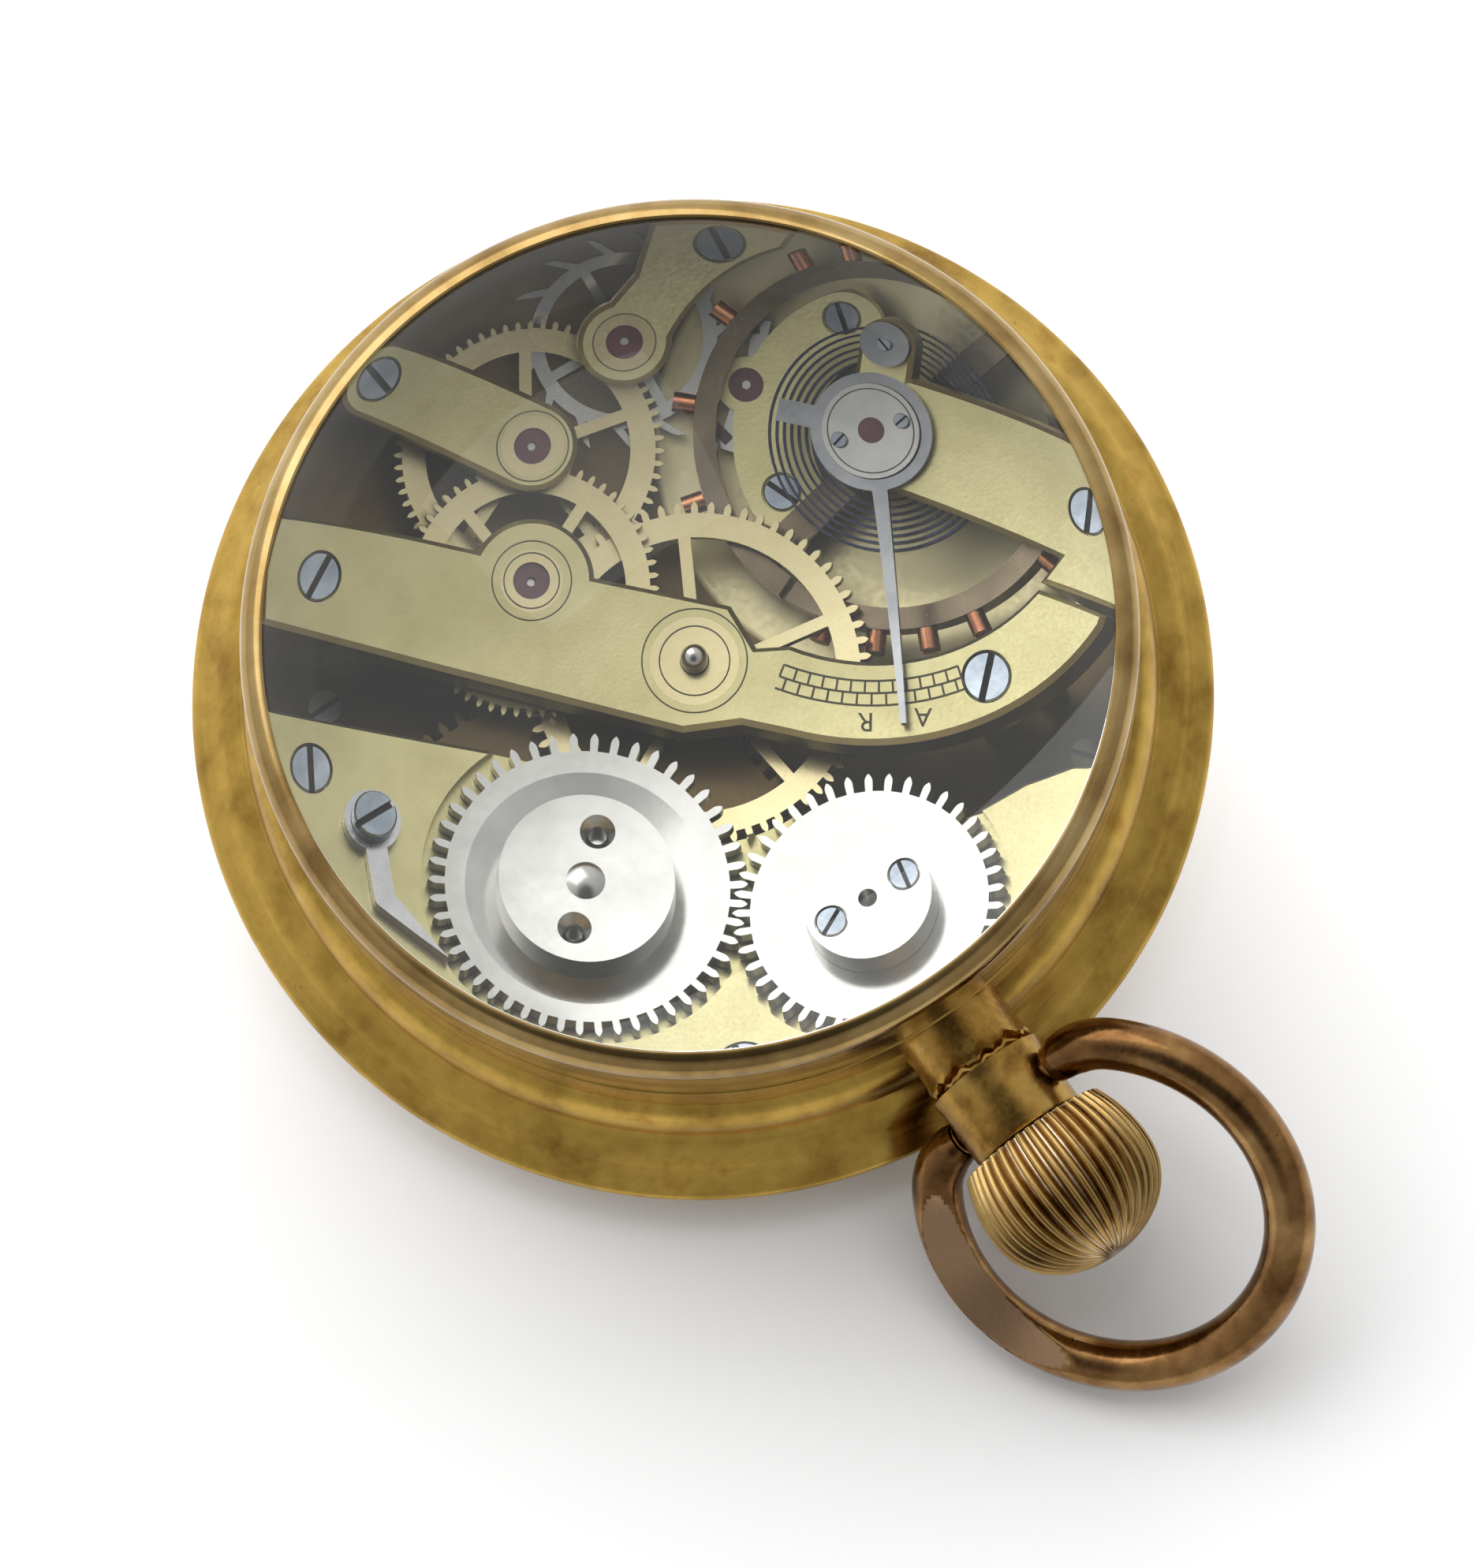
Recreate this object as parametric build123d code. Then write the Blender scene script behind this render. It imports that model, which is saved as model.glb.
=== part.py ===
from build123d import *
import math
import os

os.makedirs("parts", exist_ok=True)

# All sizes in mm. Heights are above the flat front rim that the clock lies on, along the case axis.
# Plan places of the movement are seen from the back, then the whole movement is turned into the case.
# The case is built outward from the reach of the bridges, each wall and step with a width of its own.

# Case
flange_width = 4.6
ledge_thick = 2.5
flange_edge_thick = 0.8
flange_rise = 2.5
flange_foot_width = 1.5
wall_thick = 1.2
wall_fillet_rise = 2.8
wall_rise = 0.9
spigot_wall = 1.0
spigot_rise = 1.5
plate_step = 0.5
front_spigot_wall = 2.9
front_spigot_drop = 1.5
seat_gap = 0.03

# Back bezel and magnifying glass
bezel_bulge = 0.2
bezel_bulge_rise = 4.2
bezel_rise = 7.7
bezel_foot_step = 0.1
bezel_lip_width = 0.5
bezel_top_round = 1.0
glass_inset = 0.05
glass_ledge_thick = 1.6
glass_dome_rise = 12.0
glass_ledge_width = 1.3

# Front bezel and front glass
front_bezel_wall = 3.0
rest_rim_draft = 1.4
rest_rim_width = 2.0
front_lip_width = 0.85
front_lip_rise = 0.7
front_lip_thick = 0.4
front_glass_inset = 1.55
front_glass_thick = 1.2
front_glass_bevel = 0.25

# Pendant, crown and bow, outward along the stem
winding_pinion_pitch = 2.35
stem_radius = 0.8
pendant_spigot_radius = 2.4
collar_radius = 3.3
collar_flare = 0.15
collar_length = 2.8
groove_width = 0.6
groove_radius = 2.95
neck_radius = 3.5
neck_length = 4.4
pendant_bore_play = 0.06
crown_gap = 0.2
crown_length = 8.3
crown_swell = 3.5
crown_radius = 5.4
crown_base_radius = 4.6
crown_tip_radius = 1.1
crown_flutes = 40
crown_flute_depth = 0.09
crown_bore_depth = 5.0
bow_wire_radius = 1.48
bow_ring_radius = 10.37
bow_centre_reach = 8.53
bow_pivot_inset = 2.2
bow_pivot_radius = 0.8
bow_pivot_play = 0.05
bow_pivot_depth = 0.9
bow_neck_gap = 0.35
bow_end_angle = 45.0
bow_roll = 34.2
bow_swing = 19.3
bow_flat_angle = 187.0
bow_flat_tilt = 20.0
bow_flat_reach = 4.25
bow_flat_share = 0.9

# Keyless work on the stem
stem_start = 12.4
stem_pilot_radius = 0.5
stem_pilot_length = 1.0
stem_groove_start = 21.0
stem_groove_length = 1.6
stem_groove_radius = 0.45
clutch_start = 14.2
clutch_length = 4.1
clutch_radius = 1.15
clutch_waist_radius = 0.98
clutch_waist_length = 1.0
winding_pinion_teeth = 16
winding_pinion_hub = 1.1
winding_pinion_length = 1.25
lever_thick = 0.6
lever_width = 1.0
lever_nose_width = 0.4
lever_reach = 4.6
lever_back = 1.6
bore_play = 0.03

# Main plate and dial
plate_margin = 1.8
dial_lift = 0.55
plate_thick = 2.0
plate_rim_depth = 1.3
plate_rim_width = 2.7
plate_play = 0.2
ledge_width = 1.4
pocket_floor = 0.5
balance_recess_depth = 0.5
dial_play = 0.2
dial_thick = 0.4
dial_hole_radius = 1.6
dial_foot_radius = 0.45
dial_foot_length = 0.8
dial_foot_inset = 2.0
dial_feet = 3

# Train places: directions in degrees seen from the back, modules and counts
stem_angle = -54.4
crown_wheel_place = 13.98
third_direction = 153.5
fourth_direction = 90.0
escape_direction = 50.3
pallet_direction = -21.4
pallet_distance = 5.2
balance_direction = -18.2
balance_distance = 6.3
barrel_teeth = 80
centre_leaves = 10
barrel_module = 0.2549
centre_teeth = 64
third_leaves = 8
centre_module = 0.2167
third_teeth = 60
fourth_leaves = 8
third_module = 0.1735
fourth_teeth = 64
escape_leaves = 8
fourth_module = 0.1667
escape_teeth = 15
ratchet_teeth = 48
crown_wheel_teeth = 42
winding_module = 0.288
cannon_leaves = 12
minute_teeth = 36
minute_leaves = 10
hour_teeth = 40
motion_module = 0.19
setting_teeth = 40

# Tooth forms, in modules
tooth_half = 0.66
tooth_rise = 1.2
tooth_root = 1.0
leaf_half = 0.5
leaf_root = 1.55
winding_half = 0.62
winding_rise = 1.15
winding_root = 1.6

# Wheels
wheel_spokes = 5
spoke_width = 0.5
wheel_rim = 1.0
wheel_thick = 0.35
wheel_hub = 1.3
centre_wheel_gap = 0.25
centre_wheel_thick = 0.4
third_wheel_gap = 0.2
fourth_wheel_lift = 1.35
escape_wheel_lift = 0.1
escape_wheel_thick = 0.3
escape_tip_radius = 4.6
escape_rim_outer = 3.65
escape_rim_inner = 3.1
escape_tooth_lean = 9.0
escape_tooth_foot = 7.0
escape_club = 4.0
escape_club_drop = 0.16
centre_arbor_radius = 0.6
arbor_end = 0.05
centre_arbor_rise = 0.45
third_arbor_radius = 0.2
fourth_arbor_radius = 0.3
escape_arbor_radius = 0.28
pivot_radius = 0.17
pivot_play = 0.03
pivot_inset = 1.0
leaf_margin = 0.1

# Barrel
barrel_tooth_lift = 1.0
barrel_tooth_thick = 0.8
barrel_wall_radius = 9.6
barrel_wall = 0.6
barrel_cover_thick = 0.45
barrel_floor_thick = 0.5
barrel_arbor_radius = 1.3
barrel_hub_radius = 2.0
barrel_pivot_radius = 0.6
barrel_play = 0.1
mainspring_thick = 0.25
mainspring_pitch = 0.8
mainspring_turns = 8

# Winding wheels on the barrel bridge
winding_wheel_gap = 0.1
winding_wheel_thick = 0.5
winding_sink = 0.5
winding_sink_play = 0.35
ratchet_boss_radius = 4.05
ratchet_boss_rise = 1.05
ratchet_bevel_radius = 5.5
ratchet_bevel_depth = 0.2
ratchet_square_radius = 0.9
ratchet_dome_rise = 0.3
ratchet_hole_place = 2.4
ratchet_hole_angle = 76.0
ratchet_hole_radius = 0.42
ratchet_hole_sink = 0.8
core_radius = 3.1
core_neck_radius = 2.6
core_hole_radius = 0.45
core_screw_place = 2.0
core_screw_angle = 34.0
click_place = (-14.69, -7.39)
click_hub_radius = 1.45
click_thick = 0.45
click_arm_width = 1.1
click_beak_gap = 0.35
click_screw_slot_angle = 15.0

# Bridges and cocks
bridge_gap = 0.2
bridge_thick = 1.3
bridge_margin = 0.34
bridge_bevel = 0.22
train_boss_radius = 2.7
scale_inner_radius = 10.1
scale_outer_radius = 13.75
cock_step = 0.1
cock_thick = 1.3
cock_boss_radius = 2.6
small_cock_thick = 1.0
fourth_boss_radius = 1.95
escape_boss_radius = 2.0
fourth_foot_inset = 1.165
fourth_foot_angle = 137.49
pallet_bridge_gap = 0.15
pallet_bridge_thick = 0.45
pallet_bridge_inner = 3.4
pallet_bridge_outer = 6.5
pallet_boss_radius = 1.15
pallet_foot_radius = 1.05
pallet_foot_upper = (5.35, 114.0)
pallet_foot_lower = (5.1, 207.0)

# Screws
bridge_screw_head = 1.12
bridge_screw_head_thick = 0.6
bridge_screw_shank = 0.5
bridge_screw_inset = 0.6
small_screw_head = 0.72
small_screw_head_thick = 0.25
small_screw_shank = 0.35
small_screw_length = 1.0
tiny_screw_head = 0.36
tiny_screw_head_thick = 0.2
tiny_screw_shank = 0.18
tiny_screw_length = 0.4
screw_slot = 0.28
screw_play = 0.08
case_screw_inset = 0.65
case_screw_angles = (20.0, 170.0)
case_screw_head = 1.0
case_screw_length = 1.5
train_screw_inset = 3.333
train_screw_angle = 166.68
train_screw_inner = (12.9, -0.6)
barrel_screw_insets = (2.457, 1.549)
barrel_screw_angles = (-164.74, -82.8)
cock_screw_inset = 1.09
cock_screw_angle = 21.86
escape_screw_inset = 1.478
escape_screw_angle = 87.32
screws_plate = ((-15.0, -0.4), (15.6, -2.2))

# Jewels
jewel_radius = 0.8
jewel_thick = 0.5
setting_radius = 1.35
setting_ledge = 0.2
setting_bore = 0.5
pallet_jewel_radius = 0.7
cap_jewel_radius = 0.6
centre_bush_radius = 1.9

# Balance and escapement
balance_rim_outer = 8.0
balance_rim_inner = 7.1
balance_rim_gap = 0.1
balance_rim_thick = 0.8
balance_arm_angle = 45.0
balance_arm_width = 1.3
balance_arm_thick = 0.3
balance_arm_lift = 0.05
balance_hub_radius = 1.3
balance_rim_cut = 0.3
balance_rim_cut_angle = 12.0
rim_screw_head = 0.42
rim_screw_head_length = 0.9
rim_screw_shank = 0.2
rim_screw_steps = (26.0, 41.0, 56.0, 71.0, 99.0, 127.0, 155.0)
staff_radius = 0.45
staff_inset = 0.6
collet_radius = 0.95
collet_drop = 0.95
collet_thick = 0.4
roller_radius = 1.5
roller_drop = 0.6
roller_thick = 0.3
roller_pin_place = 1.2
roller_pin_radius = 0.15
roller_pin_length = 0.05
hairspring_wire = 0.1
hairspring_start = 1.15
hairspring_pitch = 0.65
hairspring_turns = 6
stud_angle = 80.7
stud_place = 4.27
stud_ear_radius = 1.25
stud_holder_radius = 1.15
stud_holder_thick = 0.45
stud_post_radius = 0.25
pallet_lift = 0.1
pallet_thick = 0.3
pallet_arm_upper = 79.0
pallet_arm_lower = 253.0
pallet_arm_length = 2.7
pallet_arm_width = 0.75
pallet_lever_width = 0.6
pallet_fork_width = 1.3
pallet_fork_notch = 0.4
pallet_fork_depth = 0.6
pallet_lever_end = 1.15
pallet_hub_radius = 0.8
stone_width = 0.45
stone_clear = 0.3
cap_radius = 2.2
cap_thick = 0.55
cap_screw_place = 1.5
cap_screw_angle = 20.0
regulator_ring_width = 0.5
regulator_lift = 0.08
regulator_thick = 0.28
regulator_angle = -83.1
regulator_length = 13.1
regulator_root_width = 0.8
regulator_tip_width = 0.25
curb_angle = 168.8
curb_length = 4.25
curb_width = 1.05
curb_pin_radius = 0.15
curb_pin_length = 0.7

# Motion work and hands on the dial side
cannon_bore_play = 0.02
cannon_root = 1.4
cannon_wall = 0.2
hour_pipe_play = 0.05
hour_pipe_wall = 0.35
hour_wheel_lift = 0.25
motion_wheel_thick = 0.3
minute_wheel_lift = 0.5
motion_post_radius = 0.3
hand_thick = 0.2
minute_hand_lift = 1.05
hour_hand_lift = 0.8
seconds_hand_lift = 0.6
minute_hand_length = 18.5
hour_hand_length = 12.5
seconds_hand_length = 4.2
seconds_hand_tail = 1.4
hand_width = 1.1
seconds_hand_width = 0.35
hand_boss_width = 0.45

BASE = (Align.CENTER, Align.CENTER, Align.MIN)
ALONG = (Align.MIN, Align.CENTER, Align.MIN)


# Small helpers
def polar(radius, angle, start=(0.0, 0.0)):
    turn = math.radians(angle)
    return (start[0] + radius * math.cos(turn), start[1] + radius * math.sin(turn))


def direction(start, end):
    return math.degrees(math.atan2(end[1] - start[1], end[0] - start[0]))


def disc(radius, low, high, place=(0.0, 0.0)):
    return Pos(place[0], place[1], low) * Cylinder(radius, high - low, align=BASE)


def ring(outer, inner, low, high, place=(0.0, 0.0)):
    return disc(outer, low, high, place) - disc(inner, low, high, place)


def bar(start, angle, length, width, low, high):
    return Pos(start[0], start[1], low) * Rot(0, 0, angle) * Box(length, width, high - low, align=ALONG)


def face_of(*curves):
    return make_face(list(curves))


def slab(points, low, high):
    return Pos(0, 0, low) * extrude(face_of(Polyline(*points, close=True)), high - low)


def lathe(*outline):
    return Rot(90, 0, 0) * revolve(face_of(*outline), Axis.Y)


def turned(points):
    return lathe(Polyline(*points, close=True))


def bevelled(solid, size):
    top = solid.faces().sort_by(Axis.Z)[-1]
    return chamfer(top.outer_wire().edges(), size)


def save(name, shape):
    export_step(shape, os.path.join("parts", name + ".step"))
    print(name, round(shape.volume, 3))


# Toothed wheels: straight radial flanks up to the pitch circle, rounded tops above it
def toothed(count, module, half, rise, root, low, high, place, facing, gap):
    pitch = count * module / 2
    step = 360 / count
    lean = math.degrees(half * module / pitch)
    first = facing + (step / 2 if gap else 0)
    edges = []
    for index in range(count):
        middle = first + index * step
        left_root = polar(pitch - root * module, middle - lean)
        left = polar(pitch, middle - lean)
        left_top = polar(pitch + rise * module / 2, middle - lean * 0.72)
        tip = polar(pitch + rise * module, middle)
        right_top = polar(pitch + rise * module / 2, middle + lean * 0.72)
        right = polar(pitch, middle + lean)
        right_root = polar(pitch - root * module, middle + lean)
        next_root = polar(pitch - root * module, middle + step - lean)
        edges.append(Line(left_root, left))
        edges.append(ThreePointArc(left, left_top, tip))
        edges.append(ThreePointArc(tip, right_top, right))
        edges.append(Line(right, right_root))
        edges.append(Line(right_root, next_root))
    face = Face(Wire([edge.edge() for edge in edges]))
    return Pos(place[0], place[1], low) * extrude(face, high - low)


def pinion(count, module, low, high, place, facing):
    return toothed(count, module, leaf_half, leaf_half, leaf_root, low, high, place, facing, True)


def crossed_wheel(count, module, low, high, place, facing, bore, spoke_angle):
    blank = toothed(count, module, tooth_half, tooth_rise, tooth_root, low, high, place, facing, False)
    inner = count * module / 2 - tooth_root * module - wheel_rim
    wheel = blank - disc(inner, low, high, place)
    wheel += disc(wheel_hub, low, high, place)
    for index in range(wheel_spokes):
        turn = spoke_angle + index * 360 / wheel_spokes
        wheel += bar(place, turn, inner + wheel_rim / 2, spoke_width, low, high)
    return wheel - disc(bore, low, high, place)


# Slotted screw standing on its head seat
def screw(place, seat, head, head_thick, shank, length, slot_angle):
    body = disc(head, seat, seat + head_thick, place) + disc(shank, seat - length, seat, place)
    slot = Pos(place[0], place[1], seat + head_thick / 2) * Rot(0, 0, slot_angle)
    return body - slot * Box(head * 3, screw_slot, head_thick, align=BASE)


def screw_hole(place, seat, head, shank, bottom, top):
    clear = shank + screw_play / 2
    return disc(head + screw_play, seat, top, place) + disc(clear, bottom, seat, place)


# Places in the plan of the movement
centre = (0.0, 0.0)
movement_turn = -90.0 - stem_angle
third = polar(centre_module * (centre_teeth + third_leaves) / 2, third_direction)
fourth = polar(third_module * (third_teeth + fourth_leaves) / 2, fourth_direction, third)
escape = polar(fourth_module * (fourth_teeth + escape_leaves) / 2, escape_direction, fourth)
pallet = polar(pallet_distance, pallet_direction, escape)
balance = polar(balance_distance, balance_direction, pallet)
crown_wheel = polar(crown_wheel_place, stem_angle)
barrel_distance = barrel_module * (barrel_teeth + centre_leaves) / 2
winding_distance = winding_module * (ratchet_teeth + crown_wheel_teeth) / 2
barrel_cosine = (crown_wheel_place**2 + barrel_distance**2 - winding_distance**2) / (
    2 * crown_wheel_place * barrel_distance
)
barrel_direction = stem_angle - math.degrees(math.acos(barrel_cosine))
barrel = polar(barrel_distance, barrel_direction)
minute_distance = motion_module * (cannon_leaves + minute_teeth) / 2
minute_place = polar(minute_distance, stem_angle)
setting_distance = motion_module * (minute_teeth + setting_teeth) / 2
setting_place = polar(minute_distance + setting_distance, stem_angle)
stud = polar(stud_place, stud_angle, balance)

# Heights, from the front rim upward: glass, hands, dial, plate, train, bridges, back bezel
front_glass_seat = front_lip_rise + front_lip_thick
minute_hand_height = front_glass_seat + front_glass_thick + minute_hand_lift
hour_hand_height = minute_hand_height + hour_hand_lift
seconds_hand_height = hour_hand_height + seconds_hand_lift
centre_arbor_bottom = minute_hand_height - arbor_end
seconds_arbor_bottom = seconds_hand_height - arbor_end
dial_bottom = seconds_hand_height + dial_lift
rim_bottom = dial_bottom + dial_thick
plate_bottom = rim_bottom + plate_rim_depth
plate_top = plate_bottom + plate_thick
front_spigot_end = rim_bottom - ledge_thick
flange_under = front_spigot_end + front_spigot_drop
flange_edge_height = flange_under + flange_edge_thick
hour_wheel_height = rim_bottom + hour_wheel_lift
minute_wheel_height = hour_wheel_height + minute_wheel_lift
pivot_bottom = plate_bottom + pivot_inset
staff_bottom = plate_bottom + staff_inset
bridge_screw_end = plate_bottom + bridge_screw_inset
barrel_bottom = plate_bottom + pocket_floor + barrel_play
barrel_tooth_height = plate_top + barrel_tooth_lift
centre_wheel_height = barrel_tooth_height + barrel_tooth_thick + centre_wheel_gap
third_wheel_height = centre_wheel_height + centre_wheel_thick + third_wheel_gap
fourth_wheel_height = plate_top + fourth_wheel_lift
escape_wheel_height = plate_top + escape_wheel_lift
pallet_height = plate_top + pallet_lift
pallet_bridge_bottom = pallet_height + pallet_thick + pallet_bridge_gap
pallet_bridge_top = pallet_bridge_bottom + pallet_bridge_thick
balance_rim_bottom = pallet_bridge_top + balance_rim_gap
roller_height = balance_rim_bottom - roller_drop
bridge_bottom = third_wheel_height + wheel_thick + bridge_gap
bridge_top = bridge_bottom + bridge_thick
small_cock_top = bridge_bottom + small_cock_thick
cock_bottom = bridge_bottom + cock_step
cock_top = cock_bottom + cock_thick
collet_height = cock_bottom - collet_drop
hairspring_height = collet_height + collet_thick / 2
centre_arbor_top = bridge_top + centre_arbor_rise
sink_floor = bridge_top - winding_sink
winding_wheel_height = sink_floor + winding_wheel_gap
winding_top = winding_wheel_height + winding_wheel_thick
ratchet_boss_top = winding_top + ratchet_boss_rise
stem_height = winding_top - winding_wheel_thick / 2 - winding_pinion_pitch
wall_top = bridge_top + wall_rise
glass_bottom = wall_top + spigot_rise + glass_ledge_thick
bezel_bulge_height = wall_top + bezel_bulge_rise
bezel_top = wall_top + bezel_rise
barrel_tip = barrel_teeth * barrel_module / 2 + tooth_rise * barrel_module
ratchet_tip = ratchet_teeth * winding_module / 2 + winding_rise * winding_module
crown_wheel_tip = crown_wheel_teeth * winding_module / 2 + winding_rise * winding_module
crown_wheel_pitch = crown_wheel_teeth * winding_module / 2
winding_pinion_module = 2 * winding_pinion_pitch / winding_pinion_teeth
winding_pinion_tip = winding_pinion_pitch + winding_pinion_module
winding_pinion_start = crown_wheel_place + crown_wheel_pitch - winding_root * winding_module + leaf_margin
rim_screw_reach = balance_rim_outer + rim_screw_head_length

# Radii of the case, from the bridges outward
bridge_reach = crown_wheel_place + crown_wheel_tip + bridge_margin
plate_radius = bridge_reach + plate_margin
plate_rim_inner = plate_radius - plate_rim_width
plate_bore_radius = plate_radius + plate_play
ledge_radius = plate_bore_radius - ledge_width
dial_radius = ledge_radius - dial_play
dial_foot_place = plate_radius - dial_foot_inset
case_screw_place = plate_radius - case_screw_inset
back_bore_radius = plate_bore_radius + plate_step
spigot_radius = back_bore_radius + spigot_wall
wall_radius = spigot_radius + wall_thick
flange_foot_radius = wall_radius + flange_foot_width
flange_radius = wall_radius + flange_width
bezel_foot_radius = wall_radius - bezel_foot_step
bezel_bulge_radius = wall_radius + bezel_bulge
glass_radius = spigot_radius - glass_inset
front_spigot_radius = plate_bore_radius + front_spigot_wall
front_bezel_radius = front_spigot_radius + front_bezel_wall
rest_rim_outer = front_bezel_radius - rest_rim_draft
front_glass_radius = front_spigot_radius - front_glass_inset
front_lip_radius = front_glass_radius - front_lip_width

# Screws that keep their distance from the edge of the bridges
screws_train = (polar(bridge_reach - train_screw_inset, train_screw_angle), train_screw_inner)
screws_barrel = tuple(
    polar(bridge_reach - inset, angle) for inset, angle in zip(barrel_screw_insets, barrel_screw_angles)
)
screw_cock = polar(bridge_reach - cock_screw_inset, cock_screw_angle)
screw_escape = polar(bridge_reach - escape_screw_inset, escape_screw_angle)
fourth_foot_place = polar(bridge_reach - fourth_foot_inset, fourth_foot_angle)

# Places along the stem, from the case wall outward
collar_end = wall_radius + collar_length
groove_end = collar_end + groove_width
neck_end = groove_end + neck_length
bow_pivot_place = groove_end + bow_pivot_inset
crown_start = neck_end + crown_gap
crown_widest = crown_start + crown_swell
crown_end = crown_start + crown_length

# The part's origin lies under the middle of its whole outline, from the flange to the far side of the bow
bow_far = bow_centre_reach + bow_ring_radius
outline_end = bow_pivot_place + bow_far * math.cos(math.radians(bow_swing)) + bow_wire_radius
frame_shift = (outline_end - flange_radius) / 2
stem_frame = Plane(origin=(0, 0, stem_height), x_dir=(1, 0, 0), z_dir=(0, -1, 0)).location


# Case body: flange, waisted wall, spigots for both bezels, ledge for the movement
def case_outline():
    foot_height = flange_edge_height + flange_rise
    fillet_top = foot_height + wall_fillet_rise
    corners = (
        (wall_radius, wall_top),
        (spigot_radius, wall_top),
        (spigot_radius, wall_top + spigot_rise),
        (back_bore_radius, wall_top + spigot_rise),
        (back_bore_radius, plate_top),
        (plate_bore_radius, plate_top),
        (plate_bore_radius, rim_bottom),
        (ledge_radius, rim_bottom),
        (ledge_radius, front_spigot_end),
        (front_spigot_radius, front_spigot_end),
        (front_spigot_radius, flange_under),
        (flange_radius, flange_under),
        (flange_radius, flange_edge_height),
        (flange_foot_radius, foot_height),
    )
    fillet_end = (wall_radius, fillet_top)
    sweep_in = TangentArc(fillet_end, corners[-1], tangent=(0, -1))
    return Polyline(fillet_end, *corners), sweep_in


def make_case():
    body = lathe(*case_outline())
    hole = stem_frame * disc(pendant_spigot_radius + bore_play, ledge_radius, flange_radius)
    return body - hole


def make_back_bezel():
    bulge = (bezel_bulge_radius, bezel_bulge_height)
    foot = (bezel_foot_radius, wall_top)
    crest = (glass_radius + seat_gap + bezel_lip_width, bezel_top)
    shoulder = (bezel_bulge_radius - bezel_top_round / 3, bezel_top - bezel_top_round)
    ledge_in = glass_radius - glass_ledge_width
    rebate_top = wall_top + spigot_rise
    inner = (
        (glass_radius + seat_gap, bezel_top),
        (glass_radius + seat_gap, glass_bottom),
        (ledge_in, glass_bottom),
        (ledge_in, rebate_top),
        (spigot_radius + seat_gap, rebate_top),
        (spigot_radius + seat_gap, wall_top),
    )
    outside = ThreePointArc(foot, bulge, shoulder)
    rounding = TangentArc(shoulder, crest, tangent=outside % 1)
    return lathe(outside, rounding, Polyline(crest, *inner, foot))


def make_magnifier():
    edge = (glass_radius, bezel_top)
    rise = glass_dome_rise
    dome_radius = (glass_radius**2 + rise**2) / (2 * rise)
    apex = (0, bezel_top + rise)
    half_turn = math.asin(glass_radius / dome_radius) / 2
    middle = (
        dome_radius * math.sin(half_turn),
        bezel_top + rise - dome_radius * (1 - math.cos(half_turn)),
    )
    dome = ThreePointArc(edge, middle, apex)
    sides = Polyline(apex, (0, glass_bottom), (glass_radius, glass_bottom), edge)
    return lathe(dome, sides)


def make_front_bezel():
    rim_inner = rest_rim_outer - rest_rim_width
    top = (front_bezel_radius, flange_under)
    bottom = (rest_rim_outer, 0)
    round_off = TangentArc(top, bottom, tangent=(0, -1))
    inner = (
        (rim_inner, 0),
        (front_lip_radius, front_lip_rise),
        (front_lip_radius, front_glass_seat),
        (front_glass_radius + seat_gap, front_glass_seat),
        (front_glass_radius + seat_gap, front_spigot_end),
        (front_spigot_radius + seat_gap, front_spigot_end),
        (front_spigot_radius + seat_gap, flange_under),
    )
    return lathe(round_off, Polyline(bottom, *inner, top))


def make_front_glass():
    glass = disc(front_glass_radius, front_glass_seat, front_glass_seat + front_glass_thick)
    return chamfer(glass.edges(), front_glass_bevel)


# Pendant with its collar, groove and neck, shaped to sit on the flange and the wall
def case_blank():
    core = turned(((0, 0), (back_bore_radius, 0), (back_bore_radius, bezel_top), (0, bezel_top)))
    return lathe(*case_outline()) + core


def pivot_line():
    turn = math.radians(bow_roll)
    return (math.cos(turn), 0, math.sin(turn))


def make_pendant():
    profile = (
        (0, wall_radius - collar_flare),
        (collar_radius, wall_radius - collar_flare),
        (collar_radius, collar_end - collar_flare),
        (collar_radius + collar_flare, collar_end),
        (groove_radius, collar_end + groove_width / 2),
        (neck_radius, groove_end),
        (neck_radius, neck_end),
        (0, neck_end),
    )
    outside = stem_frame * turned(profile) - case_blank()
    spigot = stem_frame * disc(pendant_spigot_radius, back_bore_radius, wall_radius + collar_radius)
    bore = stem_frame * disc(stem_radius + pendant_bore_play, plate_bore_radius, neck_end)
    pivots = Plane(origin=(0, -bow_pivot_place, stem_height), z_dir=pivot_line())
    cross = pivots.location * Cylinder(bow_pivot_radius + bow_pivot_play, neck_radius * 3)
    return outside + spigot - bore - cross


# Fluted onion crown: star-shaped sections that swell and then close
def crown_section(distance):
    if distance < crown_widest:
        share = (crown_widest - distance) / (crown_widest - crown_start)
        radius = crown_radius - (crown_radius - crown_base_radius) * share**2
    else:
        share = (distance - crown_widest) / (crown_end - crown_widest)
        radius = crown_tip_radius + (crown_radius - crown_tip_radius) * math.sqrt(1 - share**2.3)
    low = radius * (1 - crown_flute_depth)
    step = 180 / crown_flutes
    points = [polar(low if index % 2 else radius, index * step) for index in range(2 * crown_flutes)]
    return Pos(0, 0, distance) * face_of(Polyline(*points, close=True))


def make_crown():
    swell = [crown_start + (crown_widest - crown_start) * index / 3 for index in range(3)]
    closing = [math.sin(math.radians(15 * index)) for index in range(7)]
    distances = swell + [crown_widest + (crown_end - crown_widest) * share for share in closing]
    body = loft([crown_section(distance) for distance in distances], ruled=True)
    return stem_frame * (body - disc(stem_radius, crown_start, crown_start + crown_bore_depth))


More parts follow.
